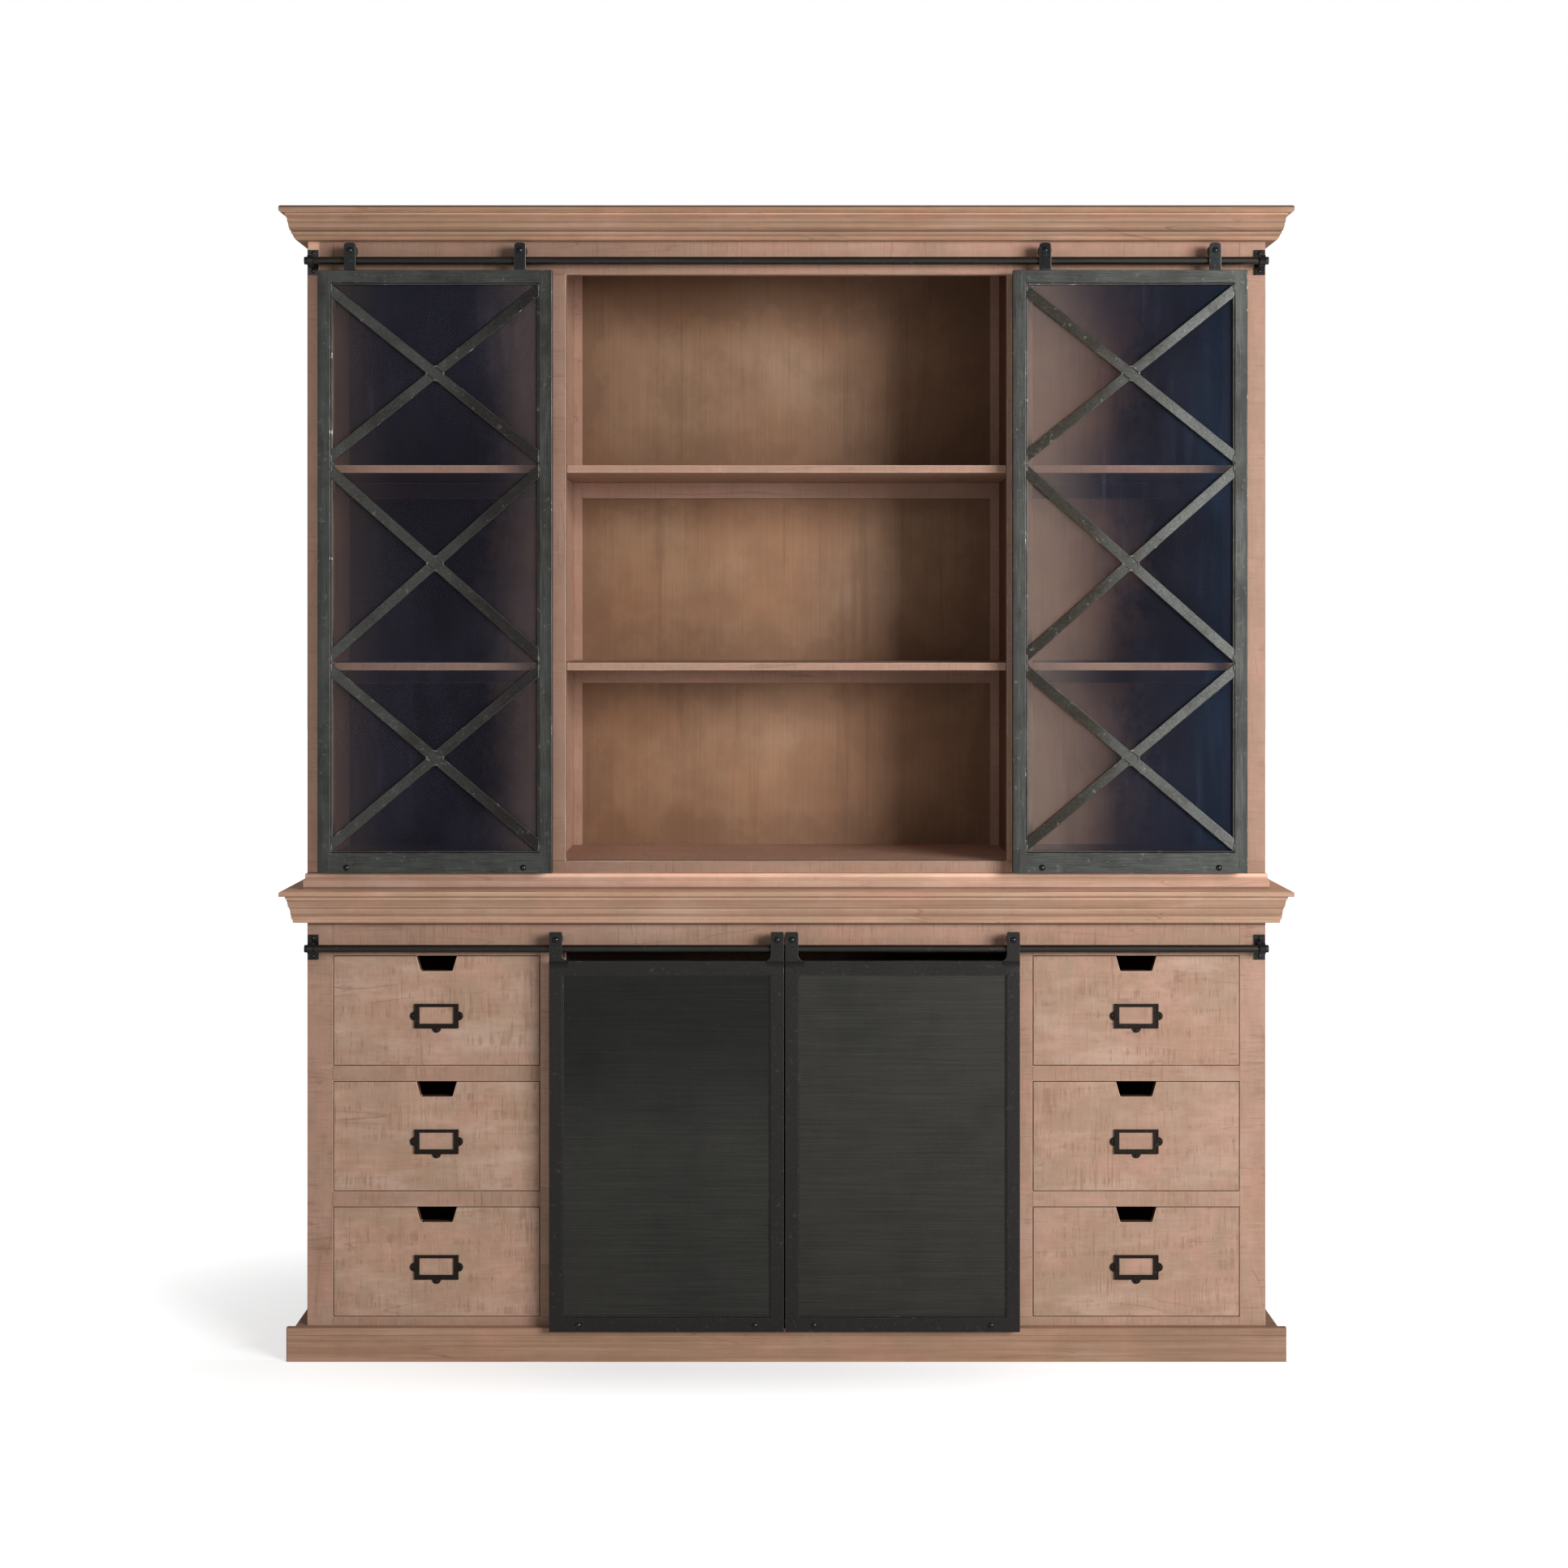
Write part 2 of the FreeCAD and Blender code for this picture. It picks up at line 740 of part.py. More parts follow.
def guide_places(x, width, z):
    """Where the two guide bolts cross the bottom rail."""
    reach = width / 2 - guide_bolt_inset
    return [(x - reach, z), (x + reach, z)]


def hanger(x, width, foot_z, axle_z, radius, gusset_side):
    """A strap that stands on the door's top edge and carries the wheel's axle."""
    half = width / 2
    top = axle_z + hanger_crown
    back = door_front_y + hanger_thickness
    foot = foot_z + joint_line
    strap = box(x - half, x + half, door_front_y, back, foot, top)
    upper = [e for e in strap.Edges if all(v.Point.z > axle_z for v in e.Vertexes)]
    corners = [e for e in upper if abs(e.Vertexes[0].Point.x - e.Vertexes[1].Point.x) < joint_line]
    strap = strap.makeFillet(radius, corners)
    if gusset_side:
        edge = x + gusset_side * half
        reach = edge + gusset_side * gusset_radius
        block = box(edge, reach, door_front_y, back, foot, foot + gusset_radius)
        hollow = rod_y(reach, foot + gusset_radius, gusset_radius, door_front_y, back)
        strap = strap.fuse(block.cut(hollow)).removeSplitter()
    return strap.cut(rod_y(x, axle_z, axle_radius + axle_clearance, door_front_y, back))


def wheel(x, rail_z):
    """A grooved wheel that runs on top of the rail."""
    axle_z = rail_z + axle_rise
    groove = rail_radius + running_gap
    half = wheel_width / 2
    lip = half - wheel_lip
    rim = axle_rise - math.sqrt(groove * groove - lip * lip)
    root = axle_rise - groove
    bore = axle_radius + axle_clearance

    def at(across, radius):
        return FreeCAD.Vector(x, rail_y + across, axle_z + radius)

    outline = [
        Part.LineSegment(at(-half, bore), at(-half, rim)).toShape(),
        Part.LineSegment(at(-half, rim), at(-lip, rim)).toShape(),
        Part.Arc(at(-lip, rim), at(0, root), at(lip, rim)).toShape(),
        Part.LineSegment(at(lip, rim), at(half, rim)).toShape(),
        Part.LineSegment(at(half, rim), at(half, bore)).toShape(),
        Part.LineSegment(at(half, bore), at(-half, bore)).toShape(),
    ]
    face = Part.Face(Part.Wire(outline))
    return face.revolve(FreeCAD.Vector(x, rail_y, axle_z), FreeCAD.Vector(0, 1, 0), full_turn)


def axle_bolt(x, axle_z):
    """A dome-headed bolt through the hanger and the wheel, with its nut behind the wheel."""
    wheel_back = rail_y + wheel_width / 2
    nut_front = wheel_back + nut_gap
    nut_back = nut_front + nut_length
    bolt = rod_y(x, axle_z, axle_radius, door_front_y, nut_back)
    bolt = bolt.fuse(dome_y(x, axle_z, bolt_head_radius, bolt_head_height, door_front_y))
    corners = []
    for k in range(hex_sides):
        angle = math.tau * k / hex_sides
        corners.append((x + nut_radius * math.cos(angle), axle_z + nut_radius * math.sin(angle)))
    return bolt.fuse(prism(corners, nut_front, nut_back)).removeSplitter()


def guide_bolt(x, z):
    """A dome-headed bolt through the door's bottom rail into the guide pad behind it."""
    pad_front = front_y - guide_pad_clearance
    tip = (door_back_y + pad_front) / 2
    bolt = rod_y(x, z, guide_bolt_radius, door_front_y, tip)
    bolt = bolt.fuse(dome_y(x, z, bolt_head_radius, bolt_head_height, door_front_y)).removeSplitter()
    pad = rod_y(x, z, guide_pad_radius, door_back_y, pad_front)
    return [bolt, pad.cut(rod_y(x, z, guide_bolt_radius + joint_line, door_back_y, tip))]


def fixings(axles, guides, rail_z):
    pieces = [axle_bolt(x, rail_z + axle_rise) for x in axles]
    for x, z in guides:
        pieces += guide_bolt(x, z)
    return pieces


def guide_holes(guides):
    radius = guide_bolt_radius + joint_line
    return [rod_y(x, z, radius, door_back_y, door_front_y) for x, z in guides]


def steel_door(side):
    """A lower door: a steel sheet in a frame whose stiles run up into the hangers."""
    name = side_names[side] + "_steel_door"
    x = lower_meeting_x + side * lower_door_centre
    guides = guide_places(x, lower_door_width, lower_door_bottom + lower_guide_rise)
    bars = door_bars(
        x, lower_door_width, lower_door_bottom, lower_door_top, lower_bottom_rail, lower_top_rail
    )
    bars = drill(bars, guide_holes(guides))
    reach = (lower_door_width - door_stile) / 2
    axles = [x - reach, x + reach]
    axle_z = lower_rail_z + axle_rise
    for axle_x, gusset_side in zip(axles, (1, -1)):
        bars.append(hanger(axle_x, door_stile, lower_door_top, axle_z, lower_hanger_radius, gusset_side))
    save(name + "_frame", *bars)
    sheet_front = door_front_y + panel_recess
    half = lower_door_width / 2 - door_stile - glass_gap
    low = lower_door_bottom + lower_bottom_rail + glass_gap
    high = lower_door_top - lower_top_rail - glass_gap
    save(name + "_sheet", box(x - half, x + half, sheet_front, sheet_front + sheet_thickness, low, high))
    save(name + "_fixings", *fixings(axles, guides, lower_rail_z))
    for end, axle_x in zip(("left", "right"), axles):
        save(name + "_" + end + "_wheel", wheel(axle_x, lower_rail_z))


def brace_pair(x, half, z0, z1):
    """One cross: a whole bar that falls to the right, and a bar that rises in two halves.
    The outer edges of the bars run into the corners."""
    y0, y1 = door_front_y + brace_recess, door_front_y + brace_recess + brace_thickness
    clip = box(x - half, x + half, y0, y1, z0, z1)
    diagonal = math.hypot(2 * half, z1 - z0)
    slope = math.atan2(z1 - z0, 2 * half) - math.asin(brace_width / diagonal)

    def bar(direction, width):
        ux, uz = math.cos(slope), direction * math.sin(slope)
        middle_z = (z0 + z1) / 2
        end = diagonal / 2 + brace_width
        outline = []
        for along, across in ((-end, -1), (end, -1), (end, 1), (-end, 1)):
            off = across * width / 2
            outline.append((x + along * ux - off * uz, middle_z + along * uz + off * ux))
        return prism(outline, y0, y1)

    falling = bar(-1, brace_width).common(clip)
    rising = bar(1, brace_width).common(clip).cut(bar(-1, brace_width + 2 * joint_line))
    return [falling.Solids[0]] + list(rising.Solids)


def glass_door(side, rest):
    """An upper door: a braced frame with a pane behind the braces."""
    name = side_names[side] + "_glass_door"
    x = side * bay_centre + rest
    guides = guide_places(x, upper_door_width, upper_door_bottom + upper_guide_rise)
    bars = door_bars(
        x, upper_door_width, upper_door_bottom, upper_door_top, upper_bottom_rail, upper_top_rail
    )
    bars = drill(bars, guide_holes(guides))
    half = upper_door_width / 2 - door_stile
    low, high = upper_door_bottom + upper_bottom_rail, upper_door_top - upper_top_rail
    levels = [low] + [z + hutch_shelf_thickness for z in shelf_bottoms] + [high]
    for z0, z1 in zip(levels, levels[1:]):
        bars += brace_pair(x, half - joint_line, z0 + joint_line, z1 - joint_line)
    reach = upper_door_width / 2 - upper_hanger_inset
    axles = [x - reach, x + reach]
    axle_z = upper_rail_z + axle_rise
    for axle_x in axles:
        bars.append(hanger(axle_x, upper_hanger_width, upper_door_top, axle_z, upper_hanger_radius, 0))
    save(name + "_frame", *bars)
    pane_front = door_front_y + brace_recess + brace_thickness + glass_gap
    pane_half = half - glass_gap
    pane_back = pane_front + glass_thickness
    pane = box(x - pane_half, x + pane_half, pane_front, pane_back, low + glass_gap, high - glass_gap)
    save(name + "_glass", pane)
    save(name + "_fixings", *fixings(axles, guides, upper_rail_z))
    for end, axle_x in zip(("left", "right"), axles):
        save(name + "_" + end + "_wheel", wheel(axle_x, upper_rail_z))


def drawers():
    for side in (-1, 1):
        for level in range(drawer_count):
            name = side_names[side] + "_" + row_names[level % len(row_names)] + "_drawer"
            x = side * bay_centre
            floor_z = base_floor_z + level * drawer_pitch
            label_z = floor_z + drawer_opening_height / 2 - label_drop
            save(name + "_front", drawer_front(x, floor_z))
            save(name + "_box", *drawer_box(x, floor_z))
            save(name + "_label_holder", label_holder(x, label_z), *label_pins(x, label_z))


def base_cabinet():
    save("plinth", *plinth())
    save("base_sides", *side_panels(plinth_height, base_top_z))
    save("base_bottom", inside_board(plinth_height, base_floor_z))
    save("base_dividers", *dividers(base_floor_z, base_top_z))
    save("base_back", back_panel(plinth_height, base_top_z))
    save("base_face_frame", *base_face_frame())
    save("cupboard_shelf", cupboard_shelf(), *shelf_supports())
    save("drawer_runners", *drawer_runners())
    save("worktop", worktop())
    save("worktop_moulding", *moulding(worktop_bands, base_top_z))


def hutch():
    save("hutch_base_board", hutch_base())
    save("hutch_sides", *side_panels(hutch_foot_z, hutch_top_z))
    save("hutch_dividers", *dividers(hutch_foot_z, hutch_top_z))
    save("hutch_back", back_panel(hutch_foot_z, hutch_top_z))
    save("hutch_floor", *hutch_floor())
    save("hutch_face_frame", *hutch_face_frame())
    save("hutch_shelves", *hutch_shelves())
    save("shelf_cleats", *shelf_cleats())
    cap_edge = half_width + nose_projection
    cap_front = front_y - nose_projection
    cap = rounded_board(cap_edge, cap_front, hutch_top_z, total_height, crown_cap_radius, True, True)
    save("crown_cap", cap)
    save("crown_moulding", *moulding(crown_bands, hutch_top_z))


def hardware():
    save("rails", rail(lower_rail_z), rail(upper_rail_z))
    save("rail_brackets", *rail_brackets())
    for side, rest in ((-1, left_upper_rest), (1, right_upper_rest)):
        steel_door(side)
        glass_door(side, rest)


os.makedirs("parts", exist_ok=True)
base_cabinet()
hutch()
drawers()
hardware()
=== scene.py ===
import math
import random

import bpy
import bmesh
from mathutils import Matrix, Vector


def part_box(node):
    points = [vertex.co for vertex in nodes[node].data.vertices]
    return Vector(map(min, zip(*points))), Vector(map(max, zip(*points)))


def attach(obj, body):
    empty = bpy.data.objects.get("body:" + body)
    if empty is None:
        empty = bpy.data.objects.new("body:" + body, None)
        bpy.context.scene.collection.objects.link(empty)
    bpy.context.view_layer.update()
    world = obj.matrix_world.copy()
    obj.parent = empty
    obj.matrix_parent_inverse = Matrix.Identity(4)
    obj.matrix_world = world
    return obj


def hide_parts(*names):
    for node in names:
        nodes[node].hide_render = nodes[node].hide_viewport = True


# The look of a dresser with hutch: its materials, the frames rebuilt with rounded edges and beads of
# weld, and the floor, light and camera.

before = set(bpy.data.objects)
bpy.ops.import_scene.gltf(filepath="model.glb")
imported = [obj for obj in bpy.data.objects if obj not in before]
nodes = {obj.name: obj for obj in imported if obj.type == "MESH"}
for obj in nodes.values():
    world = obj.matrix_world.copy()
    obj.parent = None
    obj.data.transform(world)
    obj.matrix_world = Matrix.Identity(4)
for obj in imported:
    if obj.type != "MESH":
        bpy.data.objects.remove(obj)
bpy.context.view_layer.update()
scene = bpy.context.scene

# ---------------------------------------------------------------- names, and sizes in metres

SIDES = ("left", "right")
ROWS = ("bottom", "middle", "top")
STEEL_DOORS = [side + "_steel_door" for side in SIDES]
GLASS_DOORS = [side + "_glass_door" for side in SIDES]
DRAWERS = [side + "_" + row + "_drawer" for side in SIDES for row in ROWS]

HALF_WIDTH = 1.0  # of the body, without its plinth and mouldings
STILE_WIDTH = 0.054  # of the face frames
MIDDLE_EDGE = 0.460  # from the centre to the edge of the middle opening
SIDE_OPENING = (MIDDLE_EDGE + STILE_WIDTH, HALF_WIDTH - STILE_WIDTH)
HUTCH_OPENING = (1.040, 2.263)
BASE_OPENING = (0.088, 0.852)
BAY_HEIGHT = 0.397  # between two shelves
SHELF_THICKNESS = 0.016
BAY_FLOORS = [HUTCH_OPENING[0] + k * (BAY_HEIGHT + SHELF_THICKNESS) for k in range(3)]
SIDE_BAY_MIDDLE = 0.739  # of the clear width between divider and side
SIDE_BAY_HALF = 0.242
DRAWER_OPENING = 0.230
DRAWER_RAIL = 0.032
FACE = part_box("hutch_face_frame")[0][1]  # the plane of both face frames and the drawer fronts
SHELF_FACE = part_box("hutch_shelves")[0][1]

DOOR_STILE = 0.027
DOOR_TOP_RAIL = 0.027
STEEL_DOOR_TOP = 0.836
STEEL_DOOR_BOTTOM_RAIL = 0.030
GLASS_DOOR_TOP = 2.267
GLASS_DOOR_BOTTOM_RAIL = 0.043
GUSSET_RADIUS = 0.013
HANGER_CORNER = 0.003
HANGER_OVERLAP = 0.004  # the hanger runs this far down over the frame
BRACE_WIDTH = 0.022
THIN_PART = 0.0065  # of a glass door, only braces and hangers are thinner than this

# Where a rebuilt piece keeps its materials, after the first
EDGE_SLOT, WELD_SLOT, HANGER_SLOT, BRACE_SLOT = 1, 2, 3, 4

# Base colours, linear
TAN = (0.430, 0.272, 0.200)
ROSY = (0.455, 0.282, 0.190)
EDGE = (0.50, 0.335, 0.250)
BROWN = (0.262, 0.155, 0.094)
GUNMETAL = (0.075, 0.078, 0.072)
BARE_STEEL = (0.42, 0.41, 0.38)
SHEET_WEAR = (0.14, 0.14, 0.127)
RUST = (0.050, 0.032, 0.020)


# ---------------------------------------------------------------- shader helper


class Shader:
    """Adds nodes to one material and joins them."""

    def __init__(self, name):
        self.material = bpy.data.materials.new(name)
        self.material.use_nodes = True
        self.tree = self.material.node_tree
        self.tree.nodes.clear()
        coords = self.node("ShaderNodeTexCoord")
        split = self.node("ShaderNodeSeparateXYZ", Vector=coords.outputs["Object"])
        self.x, self.y, self.z = split.outputs

    def put(self, socket, value):
        if isinstance(value, bpy.types.NodeSocket):
            self.tree.links.new(value, socket)
        elif isinstance(value, tuple) and len(value) == 3 and len(socket.default_value) == 4:
            socket.default_value = (*value, 1.0)
        else:
            socket.default_value = value

    def node(self, kind, props=None, **inputs):
        made = self.tree.nodes.new(kind)
        for key, value in (props or {}).items():
            setattr(made, key, value)
        for key, value in inputs.items():
            self.put(made.inputs[key.replace("_", " ")], value)
        return made

    def math(self, operation, *values):
        made = self.node("ShaderNodeMath", {"operation": operation})
        for socket, value in zip(made.inputs, values):
            self.put(socket, value)
        return made.outputs[0]

    def add(self, a, b):
        return self.math("ADD", a, b)

    def sub(self, a, b):
        return self.math("SUBTRACT", a, b)

    def mul(self, a, b):
        return self.math("MULTIPLY", a, b)

    def larger(self, a, b):
        return self.math("MAXIMUM", a, b)

    def smaller(self, a, b):
        return self.math("MINIMUM", a, b)

    def above(self, a, b):
        return self.math("GREATER_THAN", a, b)

    def below(self, a, b):
        return self.math("LESS_THAN", a, b)

    def away(self, value, middle=0.0):
        """How far value is from middle, either way."""
        return self.math("ABSOLUTE", self.sub(value, middle))

    def outside(self, value, low, high):
        """How far value lies outside low..high, and below zero inside."""
        return self.sub(self.away(value, (low + high) / 2), (high - low) / 2)

    def vector(self, x, y, z):
        return self.node("ShaderNodeCombineXYZ", X=x, Y=y, Z=z).outputs[0]

    def noise(self, vector, detail=3.0, roughness=0.5, distortion=0.0):
        made = self.node("ShaderNodeTexNoise", Vector=vector, Scale=1.0, Detail=detail,
                         Roughness=roughness, Distortion=distortion)
        return made.outputs["Fac"]

    def spread(self, value, low, high, to_low=0.0, to_high=1.0):
        """Maps low..high onto to_low..to_high, smoothly and clamped."""
        made = self.node("ShaderNodeMapRange", {"interpolation_type": "SMOOTHSTEP"},
                         Value=value, From_Min=low, From_Max=high, To_Min=to_low, To_Max=to_high)
        return made.outputs[0]

    def wander(self, pattern, width):
        """Turns a pattern of 0 to 1 into a shift of up to half the width, either way."""
        return self.mul(self.sub(pattern, 0.5), width)

    def mix(self, factor, a, b, blend="MIX"):
        made = self.node("ShaderNodeMix", {"data_type": "RGBA", "blend_type": blend})
        self.put(made.inputs[0], factor)
        self.put(made.inputs[6], a)
        self.put(made.inputs[7], b)
        return made.outputs[2]

    def coat(self, colour, pattern, amount, paint):
        """Lays paint over the colour where the pattern is, at most as strongly as amount."""
        return self.mix(self.mul(pattern, amount), colour, paint)

    def tint(self, amount, colour, gain):
        """Multiplies the colour by gain, as far as amount goes."""
        gain = (gain,) * 3 if isinstance(gain, float) else gain
        return self.mix(amount, colour, self.mix(1.0, colour, gain, "MULTIPLY"))

    def blend_value(self, factor, a, b):
        made = self.node("ShaderNodeMix", {"data_type": "FLOAT"})
        self.put(made.inputs[0], factor)
        self.put(made.inputs[2], a)
        self.put(made.inputs[3], b)
        return made.outputs[0]

    def bump(self, height, strength, distance):
        made = self.node("ShaderNodeBump", Strength=strength, Distance=distance, Height=height)
        return made.outputs[0]

    def finish(self, **inputs):
        shader = self.node("ShaderNodeBsdfPrincipled", **inputs)
        out = self.node("ShaderNodeOutputMaterial")
        self.tree.links.new(shader.outputs[0], out.inputs[0])
        return self.material


def scaled(colour, *factors):
    factors = factors * 3 if len(factors) == 1 else factors
    return tuple(min(1.0, max(0.0, v * f)) for v, f in zip(colour, factors))


# ---------------------------------------------------------------- wood


class Wood(Shader):
    """A shader with coordinates along and across the grain. grain is the board's long axis. With an
    opening, the ends of the inner stiles, the grain follows the timbers of a face frame."""

    def __init__(self, name, grain, seed, opening):
        super().__init__(name)
        depth_slant = 0.83  # the pattern also moves with depth
        across_seed = 1.7
        x, y, z = self.x, self.y, self.z
        if grain == "Y":
            x, y = y, x
        self.seam = None
        if opening:
            upright, self.seam = self.frame_grain(*opening)
            along = self.blend_value(upright, x, z)
            across = self.blend_value(upright, z, x)
        else:
            along, across = (z, x) if grain == "Z" else (x, z)
        self.depth = y
        self.along = self.add(along, seed)
        self.across = self.add(self.add(across, self.mul(y, depth_slant)), seed * across_seed)

    def frame_grain(self, low, high):
        """Where the timbers stand upright, and the fine lines where they meet the rails."""
        far = self.away(self.x)
        off_outer = self.sub(far, SIDE_OPENING[1])
        off_inner = self.larger(self.outside(far, MIDDLE_EDGE, SIDE_OPENING[0]),
                                self.outside(self.z, low, high))
        upright = self.larger(self.above(off_outer, 0.0), self.below(off_inner, 0.0))
        near = self.smaller(self.away(off_outer), self.away(off_inner))
        return upright, self.spread(near, 0.0003, 0.0011, 1.0, 0.0)

    def field(self, along, across, detail=3.0, roughness=0.55, distortion=0.0, shift=0.0):
        """Noise with so many cells for each metre along and across the grain."""
        return self.noise(self.vector(self.mul(self.along, along), self.mul(self.across, across),
                                      self.add(self.mul(self.depth, across), shift)),
                          detail, roughness, distortion)

    def pattern(self, along, across, low, high, detail=3.0, roughness=0.55, shift=0.0):
        """Noise that rises from 0 to 1 between low and high."""
        return self.spread(self.field(along, across, detail, roughness, shift=shift), low, high)


def stained(s, base, cloud, blotch):
    """The colour of the board under its cloudy stain."""
    tone = s.pattern(1.8, 8.0, 0.3, 0.7, 4.0, 0.6)
    mottle = s.pattern(22.0, 24.0, 0.38, 0.64, 4.0, 0.62, shift=37.0)
    bleach = s.pattern(5.0, 13.0, 0.50, 0.68, 5.0, 0.65, shift=57.0)
    rose = scaled(base, 1.10, 0.97, 0.96)
    olive = scaled(base, 0.84, 0.89, 0.82)
    colour = s.coat(rose, cloud, blotch, olive)
    colour = s.coat(colour, tone, blotch * 0.5, base)
    colour = s.coat(colour, mottle, blotch * 0.6, scaled(base, 0.86, 0.81, 0.74))
    return s.coat(colour, bleach, blotch * 0.5, scaled(base, 1.16, 1.26, 1.36))


def saw_marks(s):
    """Short marks across the grain, in patches."""
    teeth = s.pattern(230.0, 10.0, 0.52, 0.70, 3.0, 0.62, shift=2.0)
    coarse = s.pattern(120.0, 9.0, 0.55, 0.70, 2.0, 0.6, shift=6.0)
    patch = s.pattern(8.0, 11.0, 0.48, 0.62, 4.0, 0.6, shift=1.0)
    return s.mul(s.larger(teeth, s.mul(coarse, 0.8)), patch)


def nicks(s):
    """Pale nicks in some patches, and dark ones everywhere else."""
    pale = s.pattern(280.0, 16.0, 0.57, 0.70, 2.0, 0.5, shift=15.0)
    dark = s.pattern(260.0, 15.0, 0.58, 0.72, 2.0, 0.5, shift=21.0)
    here = s.pattern(8.0, 11.0, 0.46, 0.62, 3.0, 0.6, shift=50.0)
    return s.mul(pale, here), s.mul(dark, s.sub(1.0, here))


def ring_lines(s):
    """Fine broken lines where the growth rings come to the surface."""
    rings = s.mul(s.field(1.1, 13.0, 2.0, distortion=0.6, shift=4.0), 9.0)
    line = s.spread(s.math("PINGPONG", rings, 0.5), 0.0, 0.05, 1.0, 0.0)
    return s.mul(line, s.pattern(2.6, 17.0, 0.47, 0.64, shift=9.0))


def streaked(s, colour, base, pale, amount):
    """Long dark and pale streaks along a moulding."""
    veins = s.pattern(1.7, 85.0, 0.46, 0.66, 4.0, 0.6, shift=63.0)
    pale_veins = s.pattern(2.1, 70.0, 0.50, 0.70, 4.0, 0.6, shift=71.0)
    colour = s.coat(colour, veins, amount, scaled(base, 0.72, 0.63, 0.56))
    return s.coat(colour, pale_veins, amount * 0.8, pale)


def combed(s, colour, base, amount):
    """Ragged rows of short marks, as from a blunt saw."""
    rows = s.field(5.0, 34.0, 4.0, 0.6, shift=90.0)
    teeth = s.field(230.0, 13.0, 3.0, 0.6, shift=81.0)
    ragged = s.add(rows, s.wander(teeth, 0.6))
    comb = s.mul(s.spread(ragged, 0.54, 0.68), s.spread(teeth, 0.44, 0.62))
    return s.coat(colour, comb, amount, scaled(base, 0.60, 0.49, 0.41))


def painted_shading_patches(s, colour, patches):
    """Paints light and shade in upright rectangles, each given as (x0, x1, z0, z1, factor)."""
    soft = 0.002
    for x0, x1, z0, z1, factor in patches:
        off = s.larger(s.outside(s.x, x0, x1), s.outside(s.z, z0, z1))
        colour = s.tint(s.spread(off, 0.0, soft, 1.0, 0.0), colour, factor)
    return colour


def painted_shading_bands(s, colour, shading_bands):
    """Painted light and shade in bands of height along a profile, given as (low, high, factor)."""
    soft = 0.0007
    for low, high, factor in shading_bands:
        amount = s.spread(s.outside(s.z, low, high), -soft, soft, 1.0, 0.0)
        colour = s.tint(amount, colour, (factor, factor * 0.98, factor * 0.96))
    return colour


def faded(s, colour, fades, cloud):
    """Changes the tone from one place to another, given as (axis, start, end, factor). far is the
    distance from the centre, and side_y is y in the side bays alone. A wide fade wanders with the
    clouds. A fade along y leaves the body's outer sides as they are."""
    sharp = 0.015
    divider_middle = 0.49
    outer_skin = 0.002
    wander = s.wander(cloud, 0.04)
    far = s.away(s.x)
    side_y = s.sub(s.y, s.below(far, divider_middle))
    places = {"x": s.x, "y": s.y, "z": s.z, "far": far, "side_y": side_y}
    for axis, start, end, factor in fades:
        value = places[axis]
        if abs(end - start) > sharp:
            value = s.add(value, wander)
        amount = s.spread(value, start, end)
        if axis == "y":
            amount = s.mul(amount, s.below(far, HALF_WIDTH - outer_skin))
        colour = s.tint(amount, colour, factor)
    return colour


def wood(name, base, grain="X", seed=0.0, saw=0.5, lines=0.5, blotch=0.5, fresh=0.3, scratch=0.35, grime=0.0,
         streaks=0.0, combs=0.0, opening=None, patches=(), shading_bands=(), fades=()):
    """Lime-washed plank wood. The values from saw to combs say how strong its saw marks, ring lines,
    cloudy stain, fresh wash, scratches, grime, streaks and comb marks are."""
    s = Wood(name, grain, seed, opening)
    dark = scaled(base, 0.50, 0.41, 0.36)
    deep = scaled(base, 0.62, 0.54, 0.50)
    pale = scaled(base, 1.30, 1.37, 1.42)
    cloud = s.pattern(7.0, 9.0, 0.38, 0.64, 4.0, 0.62, shift=3.0)
    fine = s.pattern(14.0, 280.0, 0.3, 0.7, 2.0)
    wash = s.pattern(6.0, 20.0, 0.50, 0.75, 5.0, 0.6, shift=12.0)
    smudge = s.pattern(11.0, 30.0, 0.60, 0.76, 4.0, 0.65, shift=30.0)
    strokes = s.pattern(95.0, 7.0, 0.50, 0.68, 3.0, 0.6, shift=44.0)
    marks = saw_marks(s)
    pale_nicks, dark_nicks = nicks(s)
    ring_line = ring_lines(s)

    colour = stained(s, base, cloud, blotch)
    colour = s.coat(colour, strokes, scratch * 0.4, pale)
    colour = s.coat(colour, fine, 0.10, dark)
    colour = s.coat(colour, wash, fresh, pale)
    colour = s.coat(colour, smudge, min(1.0, 0.5 * blotch + grime), deep)
    colour = s.coat(colour, marks, saw, dark)
    colour = s.coat(colour, dark_nicks, scratch, dark)
    colour = s.coat(colour, pale_nicks, scratch, pale)
    colour = s.coat(colour, ring_line, lines, dark)
    if streaks:
        colour = streaked(s, colour, base, pale, streaks)
    if combs:
        colour = combed(s, colour, base, combs)
    if s.seam is not None:
        colour = s.coat(colour, s.seam, 0.55, scaled(dark, 0.6))
    colour = painted_shading_patches(s, colour, patches)
    colour = painted_shading_bands(s, colour, shading_bands)
    colour = faded(s, colour, fades, cloud)

    saw_depth = s.mul(marks, -0.9 * min(1.0, saw * 1.6))
    height = s.add(s.mul(fine, 0.25), s.add(saw_depth, s.mul(ring_line, -0.8)))
    height = s.add(height, s.mul(dark_nicks, -0.5 * scratch))
    return s.finish(Base_Color=colour, Roughness=s.spread(wash, 0.0, 1.0, 0.66, 0.8),
                    Specular_IOR_Level=0.30, Normal=s.bump(height, 0.35, 0.0007))


